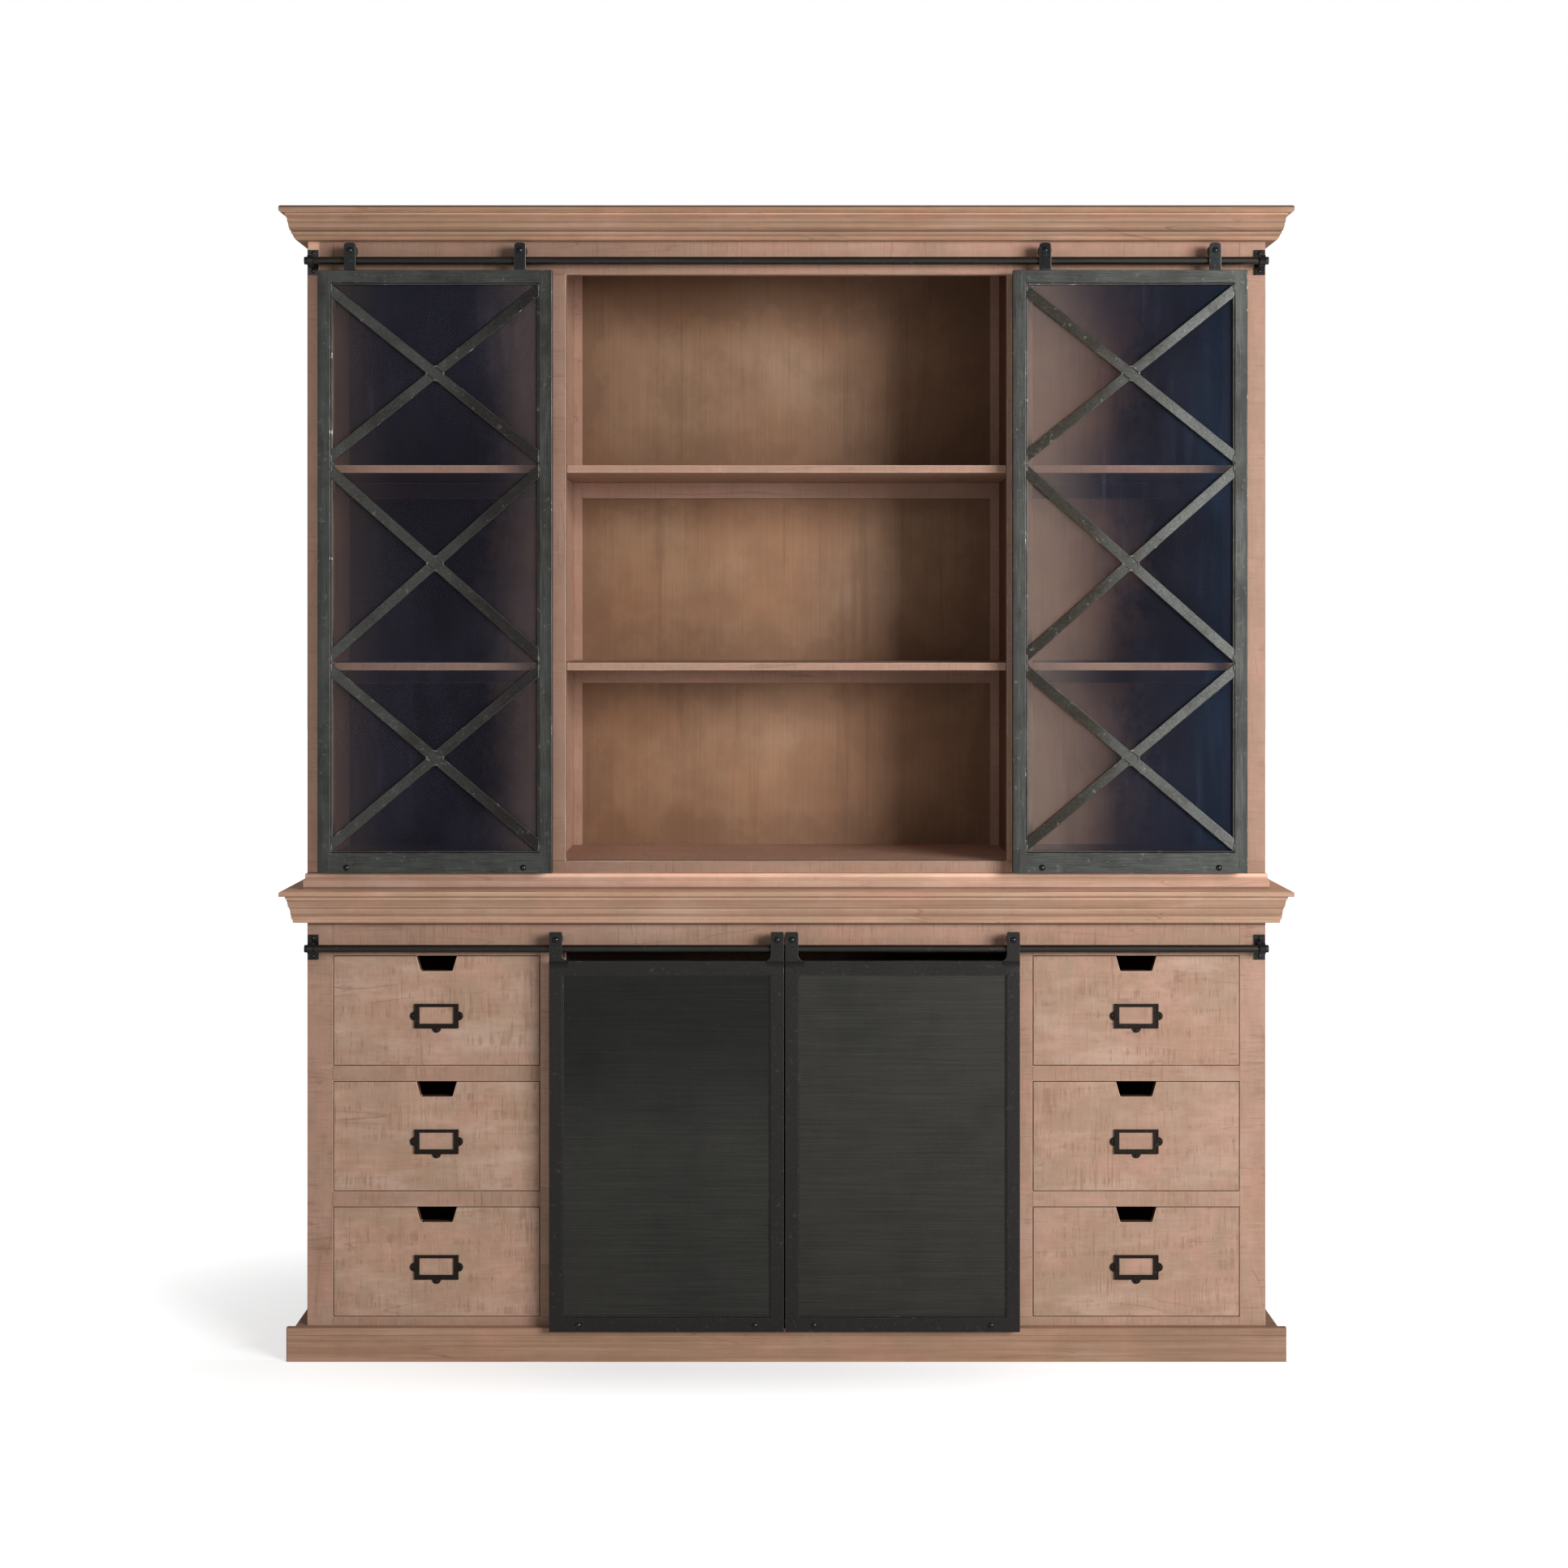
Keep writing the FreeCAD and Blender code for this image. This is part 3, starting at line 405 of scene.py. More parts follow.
def nearest_bay(s, bays):
    """How far a point lies inside the opening that holds it, and below zero outside them all."""
    inside = None
    for middle_x, half_x, middle_z, half_z in bays:
        in_x = s.sub(half_x, s.away(s.x, middle_x))
        in_z = s.sub(half_z, s.away(s.z, middle_z))
        here = s.smaller(in_x, in_z)
        inside = here if inside is None else s.larger(inside, here)
    return inside


def back_board(name, node, seed, bays, shade=1.0, glow=None, zones=()):
    """A thin back panel with cloudy stain, and painted shade round the edges of each opening. shade is
    painted shade over its tone as a whole, glow a painted pool of light in an upright stripe, as (middle,
    reach, gain), and zones paint light and shade from one place to another. All of these are on the face
    that the openings show; the rear face stays plain."""
    s = Shader(name)
    front_skin = 0.001

    def field(across, up, detail=4.0, shift=0.0, roughness=0.6):
        moved_y = s.add(s.mul(s.y, across), seed + shift)
        return s.noise(s.vector(s.mul(s.x, across), moved_y, s.mul(s.z, up)), detail, roughness)

    cloud = s.spread(field(3.2, 3.6), 0.34, 0.66)
    small = s.spread(field(11.0, 9.0, 5.0, 3.0, 0.62), 0.38, 0.66)
    grain = s.spread(field(190.0, 3.2, 3.0, 7.0), 0.32, 0.68)
    streak = s.spread(field(38.0, 1.6, 4.0, 11.0), 0.55, 0.72)
    inner = s.below(s.y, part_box(node)[0][1] + front_skin)
    inside = s.add(nearest_bay(s, bays), s.wander(small, 0.09))
    # Painted shade round the edges of each opening, on the inner face.
    painted_rim_shade = s.mul(s.spread(inside, -0.01, 0.11, 1.0, 0.0), inner)
    warm = scaled(BROWN, 1.12, 0.98, 0.86)
    deep = scaled(BROWN, 0.50, 0.44, 0.40)
    light = scaled(BROWN, 1.28, 1.32, 1.32)
    colour = s.mix(cloud, warm, light)
    colour = s.coat(colour, small, 0.42, scaled(BROWN, 0.74, 0.68, 0.60))
    colour = s.coat(colour, grain, 0.16, deep)
    colour = s.coat(colour, streak, 0.30, deep)
    colour = s.coat(colour, painted_rim_shade, 0.55, deep)
    # Painted shade over the whole inner face, a painted pool of light, and painted light and shade by zones.
    colour = s.tint(inner, colour, shade)
    if glow:
        middle, reach, gain = glow
        amount = s.spread(s.away(s.x, middle), reach * 0.2, reach, 1.0, 0.0)
        colour = s.tint(s.mul(amount, inner), colour, gain)
    for axis, start, end, gain in zones:
        value = s.add({"x": s.x, "z": s.z}[axis], s.wander(small, 0.05))
        colour = s.tint(s.mul(s.spread(value, start, end), inner), colour, gain)
    return s.finish(Base_Color=colour, Roughness=s.spread(cloud, 0.0, 1.0, 0.62, 0.74),
                    Specular_IOR_Level=0.25, Normal=s.bump(s.add(grain, small), 0.15, 0.0005))


# ---------------------------------------------------------------- steel and glass


def steel(name, base, worn, wear, roughness, brushed=False, mottle=0.4, metallic=0.85, scale=1.0,
          streak_amount=0.22, rust=0.0, soot=0.0, sides=None, lift=None, sweep=None):
    """Blackened steel: cloudy, with streaks and bare bright spots. brushed streaks run along x; with
    sides, the inner edges of a door's uprights, they follow the bars, and the uprights' outer edges get
    painted shade. lift is a change of tone up the piece, as (low, high, gain), and sweep one across it,
    as (start, end, first gain, last gain)."""
    s = Shader(name)

    def field(cells_x, cells_y, cells_z, detail=3.0, noise_roughness=0.6):
        vector = s.vector(s.mul(s.x, cells_x * scale), s.mul(s.y, cells_y * scale),
                          s.mul(s.z, cells_z * scale))
        return s.noise(vector, detail, noise_roughness)

    cloud = s.spread(field(7.0, 7.0, 7.0, 4.0), 0.32, 0.68)
    spots = field(90.0, 90.0, 90.0, 4.0, 0.65)
    if brushed:
        lines = field(5.0, 60.0, 520.0)
    elif sides:
        left, right = sides
        upright = s.larger(s.below(s.x, left), s.above(s.x, right))
        lines = s.blend_value(upright, field(14.0, 60.0, 420.0), field(420.0, 60.0, 14.0))
    else:
        lines = field(240.0, 240.0, 240.0, 2.0)
    streaks = s.spread(lines, 0.35, 0.7)
    deep = scaled(base, 0.55)
    colour = s.coat(base, cloud, mottle, deep)
    colour = s.coat(colour, streaks, streak_amount, scaled(base, 1.9))
    if soot:
        patches = s.spread(field(11.0, 11.0, 11.0, 5.0, 0.68), 0.42, 0.66)
        colour = s.coat(colour, patches, soot, scaled(base, 0.30, 0.28, 0.27))
    if lift:
        low, high, gain = lift
        colour = s.tint(s.spread(s.z, low, high), colour, gain)
    # Painted shade along the outer edges of the uprights.
    if sides:
        from_outer_edge = s.sub(DOOR_STILE, s.outside(s.x, left, right))
        colour = s.mix(s.spread(from_outer_edge, 0.003, 0.013, 0.55, 0.0), colour, deep)
    if sweep:
        start, end, first, last = sweep
        value = s.add(s.x, s.wander(cloud, 0.10))
        colour = s.mix(1.0, colour, s.mix(s.spread(value, start, end), first, last), "MULTIPLY")
    colour = s.coat(colour, s.spread(spots, 0.60, 0.74), wear, worn)
    if rust:
        stain = s.spread(field(22.0, 22.0, 22.0, 5.0, 0.65), 0.56, 0.72)
        colour = s.coat(colour, stain, rust, RUST)
    rough = s.add(s.spread(cloud, 0.0, 1.0, roughness - 0.07, roughness + 0.08), s.mul(streaks, 0.08))
    height = s.add(s.mul(streaks, 0.35), s.mul(spots, 0.65))
    return s.finish(Base_Color=colour, Metallic=metallic, Roughness=rough,
                    Normal=s.bump(height, 0.25, 0.0005))


def inner_edges(door):
    """Where the uprights of a door's frame end, on the left and on the right."""
    low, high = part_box(door + "_frame")
    return low[0] + DOOR_STILE, high[0] - DOOR_STILE


def pane(name, door, tints, alphas, left_end=-0.35):
    """Old window glass with a film of dust. tints and alphas are for its left side, middle and right
    side; the tints are painted light, shade and reflection: pinkish brown where the lit inside shows
    through, dark navy where the shaded inside and reflections show. The left side ends at left_end,
    where -1 and 1 are the sides of the pane."""
    s = Shader(name)
    left_x, right_x = inner_edges(door)
    film = s.noise(s.vector(s.mul(s.x, 5.0), s.mul(s.y, 3.0), s.mul(s.z, 3.0)), 5.0, 0.65)
    off = s.mul(s.sub(s.x, (left_x + right_x) / 2), 2.0 / (right_x - left_x))
    off = s.add(off, s.wander(film, 0.5))
    left = s.spread(off, -1.0, left_end, 1.0, 0.0)
    right = s.spread(off, 0.35, 1.0)
    film = s.spread(film, 0.3, 0.7)
    wipe = s.noise(s.vector(s.mul(s.x, 60.0), s.y, s.mul(s.z, 5.0)), 4.0, 0.6)
    wipe = s.mul(s.spread(wipe, 0.48, 0.75), film)
    alpha = s.blend_value(left, alphas[1], alphas[0])
    alpha = s.blend_value(right, alpha, alphas[2])
    alpha = s.add(alpha, s.add(s.spread(film, 0.0, 1.0, -0.04, 0.04), s.mul(wipe, 0.05)))
    colour = s.mix(right, s.mix(left, tints[1], tints[0]), tints[2])
    colour = s.tint(s.mul(wipe, 0.6), colour, 1.5)
    return s.finish(Base_Color=colour, Roughness=s.spread(wipe, 0.0, 1.0, 0.10, 0.24), Alpha=alpha,
                    Specular_IOR_Level=0.12)


# ---------------------------------------------------------------- the materials

# Painted shade in the gaps: the wood darkens from just behind the fronts' faces.
PAINTED_GAP_SHADE = ("y", FACE + 0.0008, FACE + 0.0028, (0.22, 0.17, 0.14))
# Painted light and shade in bands along the steps and grooves of the mouldings and the edges of the rails,
# as (low, high, factor).
CROWN_LIGHT_SHADE_BANDS = [(2.3950, 2.3986, 0.35), (2.3822, 2.3872, 1.70), (2.3735, 2.3820, 0.88),
               (2.3650, 2.3684, 0.80), (2.3520, 2.3570, 0.76), (2.3474, 2.3520, 0.48),
               (2.3432, 2.3474, 1.25), (2.3397, 2.3428, 0.70), (2.3314, 2.3385, 1.20)]
WORKTOP_LIGHT_SHADE_BANDS = [(0.9792, 0.9812, 1.70), (0.9703, 0.9722, 0.65), (0.9625, 0.9668, 1.35),
                 (0.9480, 0.9625, 0.76), (0.9425, 0.9470, 0.70), (0.9330, 0.9400, 0.88),
                 (0.9262, 0.9330, 0.68), (0.9190, 0.9262, 1.06)]
HUTCH_FRAME_LIGHT_SHADE_BANDS = [(1.012, 1.041, 0.87), (2.262, 2.283, 0.90)]
BASE_FRAME_LIGHT_SHADE_BANDS = [(0.9060, 0.9120, 0.55)]
BASE_BOARD_LIGHT_SHADE_BANDS = [(0.9805, 0.9862, 0.45), (1.0065, 1.0145, 1.70)]
# Painted light on the strip beside the left steel door, where the door's shadow falls, and painted shade in
# the corners above both doors.
BASE_FRAME_LIGHT_SHADE_PATCHES = [(-0.512, -0.490, 0.20, 0.851, 1.22), (-0.512, -0.490, 0.36, 0.851, 1.22),
                      (-0.478, -0.459, 0.838, 0.851, 0.3), (0.459, 0.475, 0.838, 0.851, 0.3)]

# The openings before the back panels, as (middle x, half width, middle z, half height).
MIDDLE_BAYS = [(0.0, MIDDLE_EDGE, low + BAY_HEIGHT / 2, BAY_HEIGHT / 2) for low in BAY_FLOORS]
SIDE_BAYS = [(side * SIDE_BAY_MIDDLE, SIDE_BAY_HALF, low + BAY_HEIGHT / 2, BAY_HEIGHT / 2)
             for side in (-1, 1) for low in BAY_FLOORS]
BASE_BAY = (0.0, 0.9, 0.5, 0.4)
# A bluish dark gain, painted shade for the side bays' backs.
OUTER_SHADE = (0.075, 0.085, 0.125)

wood_edge = wood("edge_wood", EDGE, seed=2.2, saw=0.25, lines=0.2, blotch=0.7, fresh=0.8)
wood_edge_dark = wood("dark_edge_wood", scaled(EDGE, 0.72), seed=2.9, saw=0.25, lines=0.2, blotch=0.8,
                      fresh=0.8)
# Painted shade towards the left of the frame, and painted light on its outermost left strip, where the left
# glass door's shadow falls.
hutch_frame_wood = wood("hutch_frame_wood", scaled(TAN, 0.95), seed=0.3, saw=0.35, lines=0.40, blotch=0.6,
                        scratch=0.3, opening=HUTCH_OPENING, shading_bands=HUTCH_FRAME_LIGHT_SHADE_BANDS,
                        fades=[("x", 0.0, -0.45, 0.76), ("x", -0.972, -0.978, 2.1)])
# Painted shade in the gaps and towards the left, with painted light and shade in patches and bands.
base_frame_wood = wood("base_frame_wood", scaled(TAN, 0.96), seed=0.7, saw=0.40, lines=0.40, blotch=0.8,
                       scratch=0.36, combs=0.3, opening=BASE_OPENING, patches=BASE_FRAME_LIGHT_SHADE_PATCHES,
                       shading_bands=BASE_FRAME_LIGHT_SHADE_BANDS, fades=[PAINTED_GAP_SHADE, ("x", 0.2, -0.5, 0.90)])
plinth_wood = wood("plinth_wood", scaled(ROSY, 0.78), seed=1.1, saw=0.05, lines=0.6, blotch=0.7,
                   scratch=0.10, streaks=0.5, fades=[("x", 0.5, 1.0, 0.84)])
crown_wood = wood("crown_wood", scaled(ROSY, 0.79), seed=3.4, saw=0.05, lines=0.6, blotch=0.8,
                  scratch=0.06, grime=0.1, streaks=0.6, shading_bands=CROWN_LIGHT_SHADE_BANDS)
worktop_wood = wood("worktop_wood", scaled(ROSY, 1.02, 1.05, 1.08), seed=4.6, saw=0.05, lines=0.6,
                    blotch=0.8, scratch=0.06, streaks=0.55, shading_bands=WORKTOP_LIGHT_SHADE_BANDS)
# Painted light and shade in bands, and painted shade towards the left.
base_board_wood = wood("base_board_wood", scaled(TAN, 1.28, 1.32, 1.36), seed=5.9, saw=0.05, lines=0.5,
                       blotch=0.7, scratch=0.08, streaks=0.45, shading_bands=BASE_BOARD_LIGHT_SHADE_BANDS,
                       fades=[("x", 0.6, -0.9, 0.84)])
# Painted shade on the inner faces of the sides.
side_wood = wood("side_wood", scaled(TAN, 0.92), "Z", seed=5.2, saw=0.3,
                 fades=[("far", 0.9935, 0.9925, (0.35, 0.31, 0.32))])
# Painted shade on the right divider.
divider_wood = wood("divider_wood", scaled(TAN, 0.92), "Z", seed=5.7, saw=0.3,
                    fades=[("x", 0.30, 0.45, (0.36, 0.31, 0.28))])
# Painted shade on the side bays' floors and towards the left of the middle one.
floor_wood = wood("floor_wood", scaled(TAN, 1.2), seed=8.8, saw=0.2, lines=0.4,
                  fades=[("far", 0.48, 0.5, (0.3, 0.27, 0.26)), ("x", -0.3, -0.46, 0.8)])
# Painted shade in the side bays, on all that lies behind the shelves' front edges.
shelf_wood = wood("shelf_wood", scaled(TAN, 0.90), seed=8.1, saw=0.2, lines=0.4,
                  fades=[("side_y", SHELF_FACE + 0.007, SHELF_FACE + 0.017, (0.16, 0.14, 0.17))])
# A near-black wood for the base dividers: painted shade that stands for the dark inside of the cupboard.
painted_shade_inside_wood = wood("painted_shade_inside_wood", scaled(TAN, 0.22), "Z", seed=6.3, saw=0.2, lines=0.4)
box_wood = wood("box_wood", scaled(TAN, 0.78), "Y", seed=9.3, saw=0.1, lines=0.3)
# The hutch back: a painted pool of light in the middle bay, painted light on the right bay's back, bluish
# painted shade over most of the side bays' backs, and painted shade towards the top.
hutch_back_wood = back_board(
    "hutch_back_wood", "hutch_back", 6.7, MIDDLE_BAYS + SIDE_BAYS, glow=(0.09, 0.30, (1.40, 1.48, 1.60)),
    zones=[("x", 0.70, 0.84, OUTER_SHADE), ("x", -0.56, -0.70, OUTER_SHADE), ("z", 1.80, 1.95, 0.86),
           ("x", 0.48, 0.50, (1.9, 1.9, 2.0))])
# The base back: painted shade over its whole inner face.
base_back_wood = back_board("base_back_wood", "base_back", 9.7, [BASE_BAY], shade=0.3)

gunmetal = {
    side: steel("gunmetal_" + side, GUNMETAL, BARE_STEEL, wear=0.22, roughness=0.42, mottle=0.7,
                streak_amount=0.45, rust=0.30, soot=0.45, sides=inner_edges(side + "_glass_door"))
    for side in SIDES
}
brace_steel = {
    side: steel("brace_steel_" + side, GUNMETAL, BARE_STEEL, wear=0.30, roughness=0.40, mottle=0.7,
                streak_amount=0.4, rust=0.35, soot=0.3, sweep=sweep)
    for side, sweep in (("left", (-0.93, -0.56, (1.05, 1.04, 1.03), (0.42, 0.38, 0.38))),
                        ("right", (0.60, 0.84, (0.56, 0.48, 0.42), (1.55, 1.55, 1.58))))
}
black_sheet = {
    side: steel(side + "_black_sheet", base, SHEET_WEAR, wear=0.08, roughness=0.46, brushed=True, mottle=0.7,
                streak_amount=0.24, lift=lift)
    for side, base, lift in (("left", (0.046, 0.0455, 0.041), (0.42, 0.72, (0.55, 0.55, 0.56))),
                             ("right", (0.0465, 0.0455, 0.040), (0.10, 0.16, 1.1)))
}
gunmetal_edge = steel("gunmetal_edge", (0.10, 0.10, 0.094), (0.62, 0.61, 0.58), wear=0.8, roughness=0.36,
                      scale=0.6, soot=0.8)
weld_steel = steel("weld_steel", (0.10, 0.10, 0.095), (0.60, 0.59, 0.56), wear=0.8, roughness=0.5,
                   metallic=0.55, scale=1.4)
hanger_steel = steel("hanger_steel", (0.030, 0.031, 0.031), BARE_STEEL, wear=0.10, roughness=0.30)
black_frame = steel("black_frame", (0.034, 0.033, 0.031), BARE_STEEL, wear=0.10, roughness=0.4)
black_edge = steel("black_edge", (0.075, 0.075, 0.07), BARE_STEEL, wear=0.5, roughness=0.33)
rail_steel = steel("rail_steel", (0.042, 0.038, 0.033), BARE_STEEL, wear=0.14, roughness=0.4, brushed=True)
bolt_steel = steel("bolt_steel", (0.035, 0.035, 0.037), BARE_STEEL, wear=0.08, roughness=0.17)
wheel_steel = steel("wheel_steel", (0.09, 0.088, 0.085), BARE_STEEL, wear=0.2, roughness=0.35)
label_bronze = steel("label_bronze", (0.026, 0.019, 0.016), (0.24, 0.17, 0.12), wear=0.30, roughness=0.36)
label_edge = steel("label_edge", (0.09, 0.065, 0.052), (0.40, 0.31, 0.23), wear=0.7, roughness=0.30)
# The glass's tints: painted light where the lit inside shows, painted shade and reflection, navy, elsewhere.
glass = {
    "left": pane("glass_left", "left_glass_door",
                 ((0.085, 0.068, 0.072), (0.035, 0.035, 0.060), (0.100, 0.078, 0.082)),
                 (0.22, 0.15, 0.30)),
    "right": pane("glass_right", "right_glass_door",
                  ((0.210, 0.165, 0.150), (0.045, 0.050, 0.080), (0.033, 0.052, 0.094)),
                  (0.34, 0.15, 0.18), left_end=-0.05),
}


# ---------------------------------------------------------------- carried-over nodes


def soften_edges(piece, width, weighted=False):
    """Rounds the sharp edges, or with weighted only those that have a bevel weight."""
    weld = piece.modifiers.new("weld", "WELD")
    weld.merge_threshold = 0.00001
    bevel = piece.modifiers.new("soften", "BEVEL")
    bevel.width = width
    bevel.segments = 2
    bevel.limit_method = "WEIGHT" if weighted else "ANGLE"
    bevel.angle_limit = 0.6
    bevel.use_clamp_overlap = True
    bevel.material = EDGE_SLOT if len(piece.data.materials) > 1 else -1
    shade = piece.modifiers.new("shade", "WEIGHTED_NORMAL")
    shade.keep_sharp = False
    shade.weight = 80


def dress(node, material, edge=None, bevel=0.0):
    """Gives a node its material and softens its edges."""
    piece = nodes[node]
    piece.data.materials.clear()
    piece.data.materials.append(material)
    if edge:
        piece.data.materials.append(edge)
    if bevel:
        soften_edges(piece, bevel)


def dress_carcass():
    dress("plinth", plinth_wood, wood_edge, 0.0014)
    for name in ("base_sides", "hutch_sides"):
        dress(name, side_wood, wood_edge, 0.001)
    dress("base_dividers", painted_shade_inside_wood, painted_shade_inside_wood, 0.001)
    dress("hutch_dividers", divider_wood, wood_edge_dark, 0.001)
    dress("base_back", base_back_wood)
    dress("hutch_back", hutch_back_wood)
    dress("hutch_floor", floor_wood, wood_edge_dark, 0.0008)
    for name in ("base_bottom", "cupboard_shelf", "shelf_cleats", "drawer_runners"):
        dress(name, shelf_wood, wood_edge_dark, 0.0008)
    dress("hutch_shelves", shelf_wood, wood_edge, 0.0018)
    dress("worktop", worktop_wood, wood_edge, 0.0012)
    dress("worktop_moulding", worktop_wood, wood_edge, 0.0007)
    dress("hutch_base_board", base_board_wood, wood_edge, 0.0012)
    dress("crown_cap", crown_wood, wood_edge_dark, 0.0012)
    dress("crown_moulding", crown_wood, wood_edge_dark, 0.0007)


def dress_drawers():
    first_seed, seed_step = 11.0, 2.3
    for index, name in enumerate(DRAWERS):
        # The drawer fronts get painted shade in their gaps.
        front = wood(name + "_wood", scaled(TAN, 0.99, 1.01, 1.01), seed=first_seed + seed_step * index,
                     saw=0.46, lines=0.45, blotch=1.15, fresh=0.5, scratch=0.26, grime=0.1, combs=0.52,
                     fades=[PAINTED_GAP_SHADE])
        dress(name + "_front", front, wood_edge, 0.0012)
        dress(name + "_box", box_wood, box_wood, 0.0008)
        dress(name + "_label_holder", label_bronze, label_edge, 0.0004)


def dress_hardware():
    for side in SIDES:
        dress(side + "_steel_door_sheet", black_sheet[side])
        dress(side + "_glass_door_glass", glass[side])
    for name in STEEL_DOORS + GLASS_DOORS:
        dress(name + "_fixings", bolt_steel)
        for end in SIDES:
            dress(name + "_" + end + "_wheel", wheel_steel)
    dress("rails", rail_steel)
    dress("rail_brackets", bolt_steel, bolt_steel, 0.0005)


# ---------------------------------------------------------------- rebuilt frames


def grid_frame(mesh, xs, zs, holes, y0, y1):
    """Adds a flat frame as one solid. holes are the openings as (x0, x1, z0, z1)."""
    corners = {}

    def corner(i, k, y):
        if (i, k, y) not in corners:
            corners[i, k, y] = mesh.verts.new((xs[i], y, zs[k]))
        return corners[i, k, y]

    def solid(i, k):
        if not (0 <= i < len(xs) - 1 and 0 <= k < len(zs) - 1):
            return False
        x, z = (xs[i] + xs[i + 1]) / 2, (zs[k] + zs[k + 1]) / 2
        return not any(a < x < b and c < z < d for a, b, c, d in holes)

    for i in range(len(xs) - 1):
        for k in range(len(zs) - 1):
            if not solid(i, k):
                continue
            ring = [(i, k), (i + 1, k), (i + 1, k + 1), (i, k + 1)]
            neighbours = [(i, k - 1), (i + 1, k), (i, k + 1), (i - 1, k)]
            mesh.faces.new([corner(a, b, y0) for a, b in ring])
            mesh.faces.new([corner(a, b, y1) for a, b in reversed(ring)])
            for (a, b), (c, d), beside in zip(ring, ring[1:] + ring[:1], neighbours):
                if not solid(*beside):
                    side = [corner(c, d, y0), corner(a, b, y0), corner(a, b, y1), corner(c, d, y1)]
                    mesh.faces.new(side)


def plate(mesh, points, y0, y1, material=0):
    """Adds a flat plate with its outline given as (x, z) points, anticlockwise from the front."""
    front = [mesh.verts.new((x, y0, z)) for x, z in points]
    back = [mesh.verts.new((x, y1, z)) for x, z in points]
    made = [mesh.faces.new(front), mesh.faces.new(list(reversed(back)))]
    for k in range(len(points)):
        n = (k + 1) % len(points)
        made.append(mesh.faces.new([front[n], front[k], back[k], back[n]]))
    for face in made:
        face.material_index = material


def weld_bead(mesh, x, y, z, length, radius, angle, rng):
    """A short lump of weld that lies in the door's face, with ripples along it."""
    ripple, ripple_turns = 0.10, 26.0
    size = Matrix.Diagonal((length / 2, radius, radius, 1.0))
    place = Matrix.Translation((x, y, z)) @ Matrix.Rotation(-angle, 4, "Y") @ size
    made = bmesh.ops.create_icosphere(mesh, subdivisions=3, radius=1.0, matrix=place)["verts"]
    middle = Vector((x, y, z))
    phase = rng.uniform(0.0, 6.0)
    for vert in made:
        off = vert.co - middle
        along = off.x * math.cos(angle) + off.z * math.sin(angle)
        vert.co = middle + off * (1.0 + ripple * math.sin(along / length * ripple_turns + phase))
    for face in {face for vert in made for face in vert.link_faces}:
        face.material_index = WELD_SLOT
        face.smooth = True


def loose_plates(node, thickness_limit):
    """The thin flat parts of a CAD node: the (x, z) points of each one's front, and its planes."""
    mesh = bmesh.new()
    mesh.from_mesh(nodes[node].data)
    bmesh.ops.remove_doubles(mesh, verts=mesh.verts, dist=0.00001)
    left = set(mesh.verts)
    found = []
    for start in list(mesh.verts):
        if start not in left:
            continue
        island, stack = [], [start]
        left.discard(start)
        while stack:
            vert = stack.pop()
            island.append(vert)
            for edge in vert.link_edges:
                other = edge.other_vert(vert)
                if other in left:
                    left.discard(other)
                    stack.append(other)
        y0, y1 = min(v.co.y for v in island), max(v.co.y for v in island)
        if y1 - y0 < thickness_limit:
            face = [(v.co.x, v.co.z) for v in island if v.co.y - y0 < 0.0001]
            found.append((face, y0, y1))
    mesh.free()
    return found


def hull(points):
    """The convex outline round the points, anticlockwise."""
    points = sorted(set((round(x, 6), round(z, 6)) for x, z in points))

    def no_left_turn(a, b, p):
        return (b[0] - a[0]) * (p[1] - a[1]) - (b[1] - a[1]) * (p[0] - a[0]) <= 1e-12

    def half(run):
        kept = []
        for p in run:
            while len(kept) > 1 and no_left_turn(kept[-2], kept[-1], p):
                kept.pop()
            kept.append(p)
        return kept[:-1]

    return half(points) + half(reversed(points))


def quarter(cx, cz, radius, start):
    """Points on a quarter of a circle, anticlockwise from the angle start."""
    steps = 6
    angles = [start + math.pi / 2 * k / steps for k in range(steps + 1)]
    return [(cx + radius * math.cos(angle), cz + radius * math.sin(angle)) for angle in angles]


def finish_piece(name, mesh, node, body, materials, bevel, stays_sharp=None):
    """Turns the mesh into an object that stands for a CAD node. Its sharp edges are rounded, apart
    from the weld's and those that stays_sharp accepts."""
    sharp_angle = 0.3
    weights = mesh.edges.layers.float.new("bevel_weight_edge")
    mesh.normal_update()
    for edge in mesh.edges:
        weld = any(face.material_index == WELD_SLOT for face in edge.link_faces)
        sharp = len(edge.link_faces) == 2 and edge.calc_face_angle(0.0) > sharp_angle
        if sharp and not weld and not (stays_sharp and stays_sharp(edge)):
            edge[weights] = 1.0
    data = bpy.data.meshes.new(name)
    mesh.to_mesh(data)
    mesh.free()
    piece = bpy.data.objects.new(name, data)
    scene.collection.objects.link(piece)
    for material in materials:
        data.materials.append(material)
    soften_edges(piece, bevel, weighted=True)
    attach(piece, body)
    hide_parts(node)


def face_frame(name, node, levels, holes, materials, bevel):
    """The uprights and rails on the front of one cabinet, as one flat frame."""
    low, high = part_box(node)
    uprights = [MIDDLE_EDGE, *SIDE_OPENING, HALF_WIDTH]
    xs = [-x for x in reversed(uprights)] + uprights
    zs = sorted({low[2], high[2], *levels})
    mesh = bmesh.new()
    grid_frame(mesh, xs, zs, holes, low[1], high[1])
    finish_piece(name, mesh, node, "carcass", materials, bevel)


